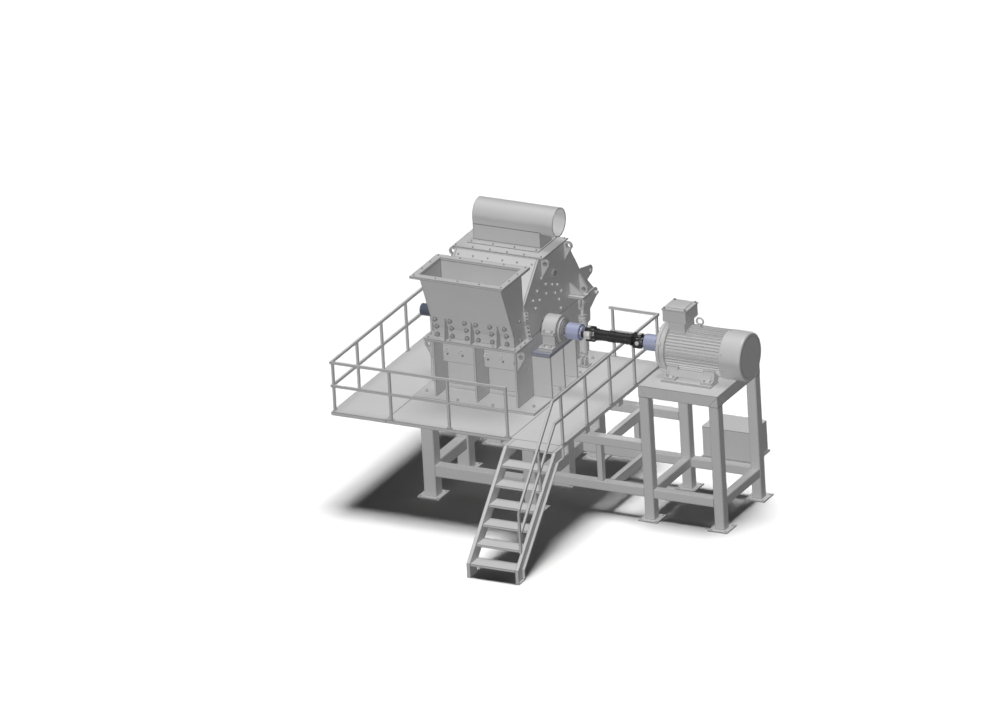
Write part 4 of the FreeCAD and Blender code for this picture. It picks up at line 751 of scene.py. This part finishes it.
def cylinder_fittings():
    """Pin caps, gland rings and oil ports of the two hood cylinders."""
    for word in ("left", "right"):
        low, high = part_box("cylinder_barrel_" + word)
        x = (low.x + high.x) / 2
        foot = Vector((x, DECK_Y + FOOT_Y, FOOT_Z))
        lean = Vector((0, HEAD_Y - FOOT_Y, HEAD_Z - FOOT_Z)).normalized()
        ports = []
        for reach in (0.155, 0.70):
            point = foot + lean * reach + Vector((0, -0.062, 0))
            ports.append(turned_to(drum(0.020, 0.045, 20, 0.003), point, FRONT))
        ports.append(ring(0.052, 0.010, foot + lean * 0.792, lean, 36))
        settle(join_all(ports), "cylinder_ports_" + word, "barrel_" + word, "mill_paint")
        head, out = Vector((x, DECK_Y + HEAD_Y, HEAD_Z)), 0.0605
        spots = [(head + side * out, side) for side in (RIGHT, LEFT)]
        spread("head_pin_caps_" + word, drum(0.028, 0.008, 24, 0.003), spots,
               "rod_" + word, "rod_steel", BOLTS)
        spots = [(foot + side * out, side) for side in (RIGHT, LEFT)]
        spread("foot_pin_caps_" + word, drum(0.028, 0.008, 24, 0.003), spots,
               "frame", "mill_paint", BOLTS)


def mitre_welds():
    """Ground weld beads along the mitred corners of the motor stand's top."""
    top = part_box("stand_top")[1].z
    leg, deep, proud = 0.180, 0.200, 0.001
    front, rear = DECK_Y + 1.313 - proud, DECK_Y + 2.713 + leg + proud
    left, right = DECK_X + 5.090 - proud, DECK_X + 6.385 + leg + proud
    beads = []
    for y in (front, rear):
        for x, way in ((left, 1), (right, -1)):
            beads.append(bar([(x + way * 0.003, y, top - 0.003),
                              (x + way * leg, y, top - deep)], 0.0045))
            beads.append(bar([(x, y, top - deep), (x + way * leg, y, top - deep)], 0.003))
    for x in (left, right):
        for y, way in ((front, 1), (rear, -1)):
            beads.append(bar([(x, y + way * 0.003, top - 0.003),
                              (x, y + way * leg, top - deep)], 0.0045))
    settle(join_all(beads), "stand_mitre_welds", "frame", "frame_paint")


def hinge_pin_caps():
    """Retaining caps at the ends of the hood's hinge pins."""
    right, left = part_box("lower_side_right")[1].x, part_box("lower_side_left")[0].x
    spots = [(Vector((x, DECK_Y + HINGE_Y, HINGE_Z)), side)
             for x, side in ((right, RIGHT), (left, LEFT))]
    spread("hinge_pin_caps", cap_bolt(0.070), spots, "frame", "mill_paint", BOLTS)


def set_ground():
    """White ground, pale to the camera, that throws little light back up."""
    clear_selection()
    bpy.ops.mesh.primitive_plane_add(size=900, location=(0, 0, 0))
    ground = bpy.context.object
    ground.name = "ground"
    white = bpy.data.materials.new("ground_white")
    white.use_nodes = True
    shader = white.node_tree.nodes["Principled BSDF"]
    shader.inputs["Roughness"].default_value = 1.0
    shader.inputs["Specular IOR Level"].default_value = 0.0
    seen = white.node_tree.nodes.new("ShaderNodeLightPath")
    tone = white.node_tree.nodes.new("ShaderNodeMix")
    tone.data_type = "RGBA"
    tone.inputs[6].default_value = GROUND_BOUNCE
    tone.inputs[7].default_value = GROUND_SEEN
    white.node_tree.links.new(seen.outputs["Is Camera Ray"], tone.inputs[0])
    white.node_tree.links.new(tone.outputs[2], shader.inputs["Base Color"])
    ground.data.materials.append(white)
    return ground


def set_sky():
    """A white sky that the camera sees and a faint one that lights the part."""
    world = bpy.data.worlds.new("sky")
    bpy.context.scene.world = world
    world.use_nodes = True
    nodes, links = world.node_tree.nodes, world.node_tree.links
    pale, bright = nodes["Background"], nodes.new("ShaderNodeBackground")
    pale.inputs["Color"].default_value = (1, 1, 1, 1)
    pale.inputs["Strength"].default_value = SKY_LIGHT
    bright.inputs["Color"].default_value = (1, 1, 1, 1)
    seen = nodes.new("ShaderNodeLightPath")
    mix = nodes.new("ShaderNodeMixShader")
    links.new(seen.outputs["Is Camera Ray"], mix.inputs[0])
    links.new(pale.outputs[0], mix.inputs[1])
    links.new(bright.outputs[0], mix.inputs[2])
    links.new(mix.outputs[0], nodes["World Output"].inputs["Surface"])


def set_lights(ground):
    """A high sun that throws the shadow, and fills without shadows."""
    on_ground = bpy.data.collections.new("ground_only")
    on_ground.objects.link(ground)
    off_ground = bpy.data.collections.new("all_but_ground")
    off_ground.objects.link(ground)
    off_ground.collection_objects[0].light_linking.link_state = "EXCLUDE"
    receivers = {"all": None, "ground": on_ground, "plant": off_ground}
    for name, toward, strength, disc, shadow, lit in LIGHTS:
        sun = bpy.data.lights.new(name, "SUN")
        sun.energy = strength
        sun.angle = math.radians(disc)
        sun.use_shadow = shadow
        lamp = bpy.data.objects.new(name, sun)
        bpy.context.collection.objects.link(lamp)
        lamp.rotation_euler = UP.rotation_difference(Vector(toward).normalized()).to_euler()
        if receivers[lit]:
            lamp.light_linking.receiver_collection = receivers[lit]


def set_camera():
    """A very long lens from far away, which gives the photograph's parallel view."""
    camera = bpy.data.cameras.new("camera")
    camera.sensor_width = SENSOR_MM
    camera.lens = LENS_MM
    width = PICTURE_WIDTH / PIXELS_PER_METRE
    distance = width * LENS_MM / SENSOR_MM
    right = VIEW_RIGHT.normalized()
    back = right.cross(VIEW_UP).normalized()
    up = back.cross(right)
    camera.clip_start = 10.0
    camera.clip_end = distance * 3
    eye = at(*VIEW_POINT) + back * distance
    turn = Matrix((right, up, back)).transposed().to_4x4()
    seat = bpy.data.objects.new("camera", camera)
    bpy.context.collection.objects.link(seat)
    seat.matrix_world = Matrix.Translation(eye) @ turn
    bpy.context.scene.camera = seat
    bpy.context.scene.view_settings.view_transform = "Standard"


dress_cad_nodes()
hopper_fixings()
front_fittings()
joint_strips()
hood_fixings()
pipe_rims()
bearing_fixings()
base_fixings()
drive_fittings()
motor_shield_fittings()
terminal_box_fittings()
motor_foot_fittings()
cylinder_fittings()
hinge_pin_caps()
mitre_welds()
ground_plane = set_ground()
set_sky()
set_lights(ground_plane)
set_camera()
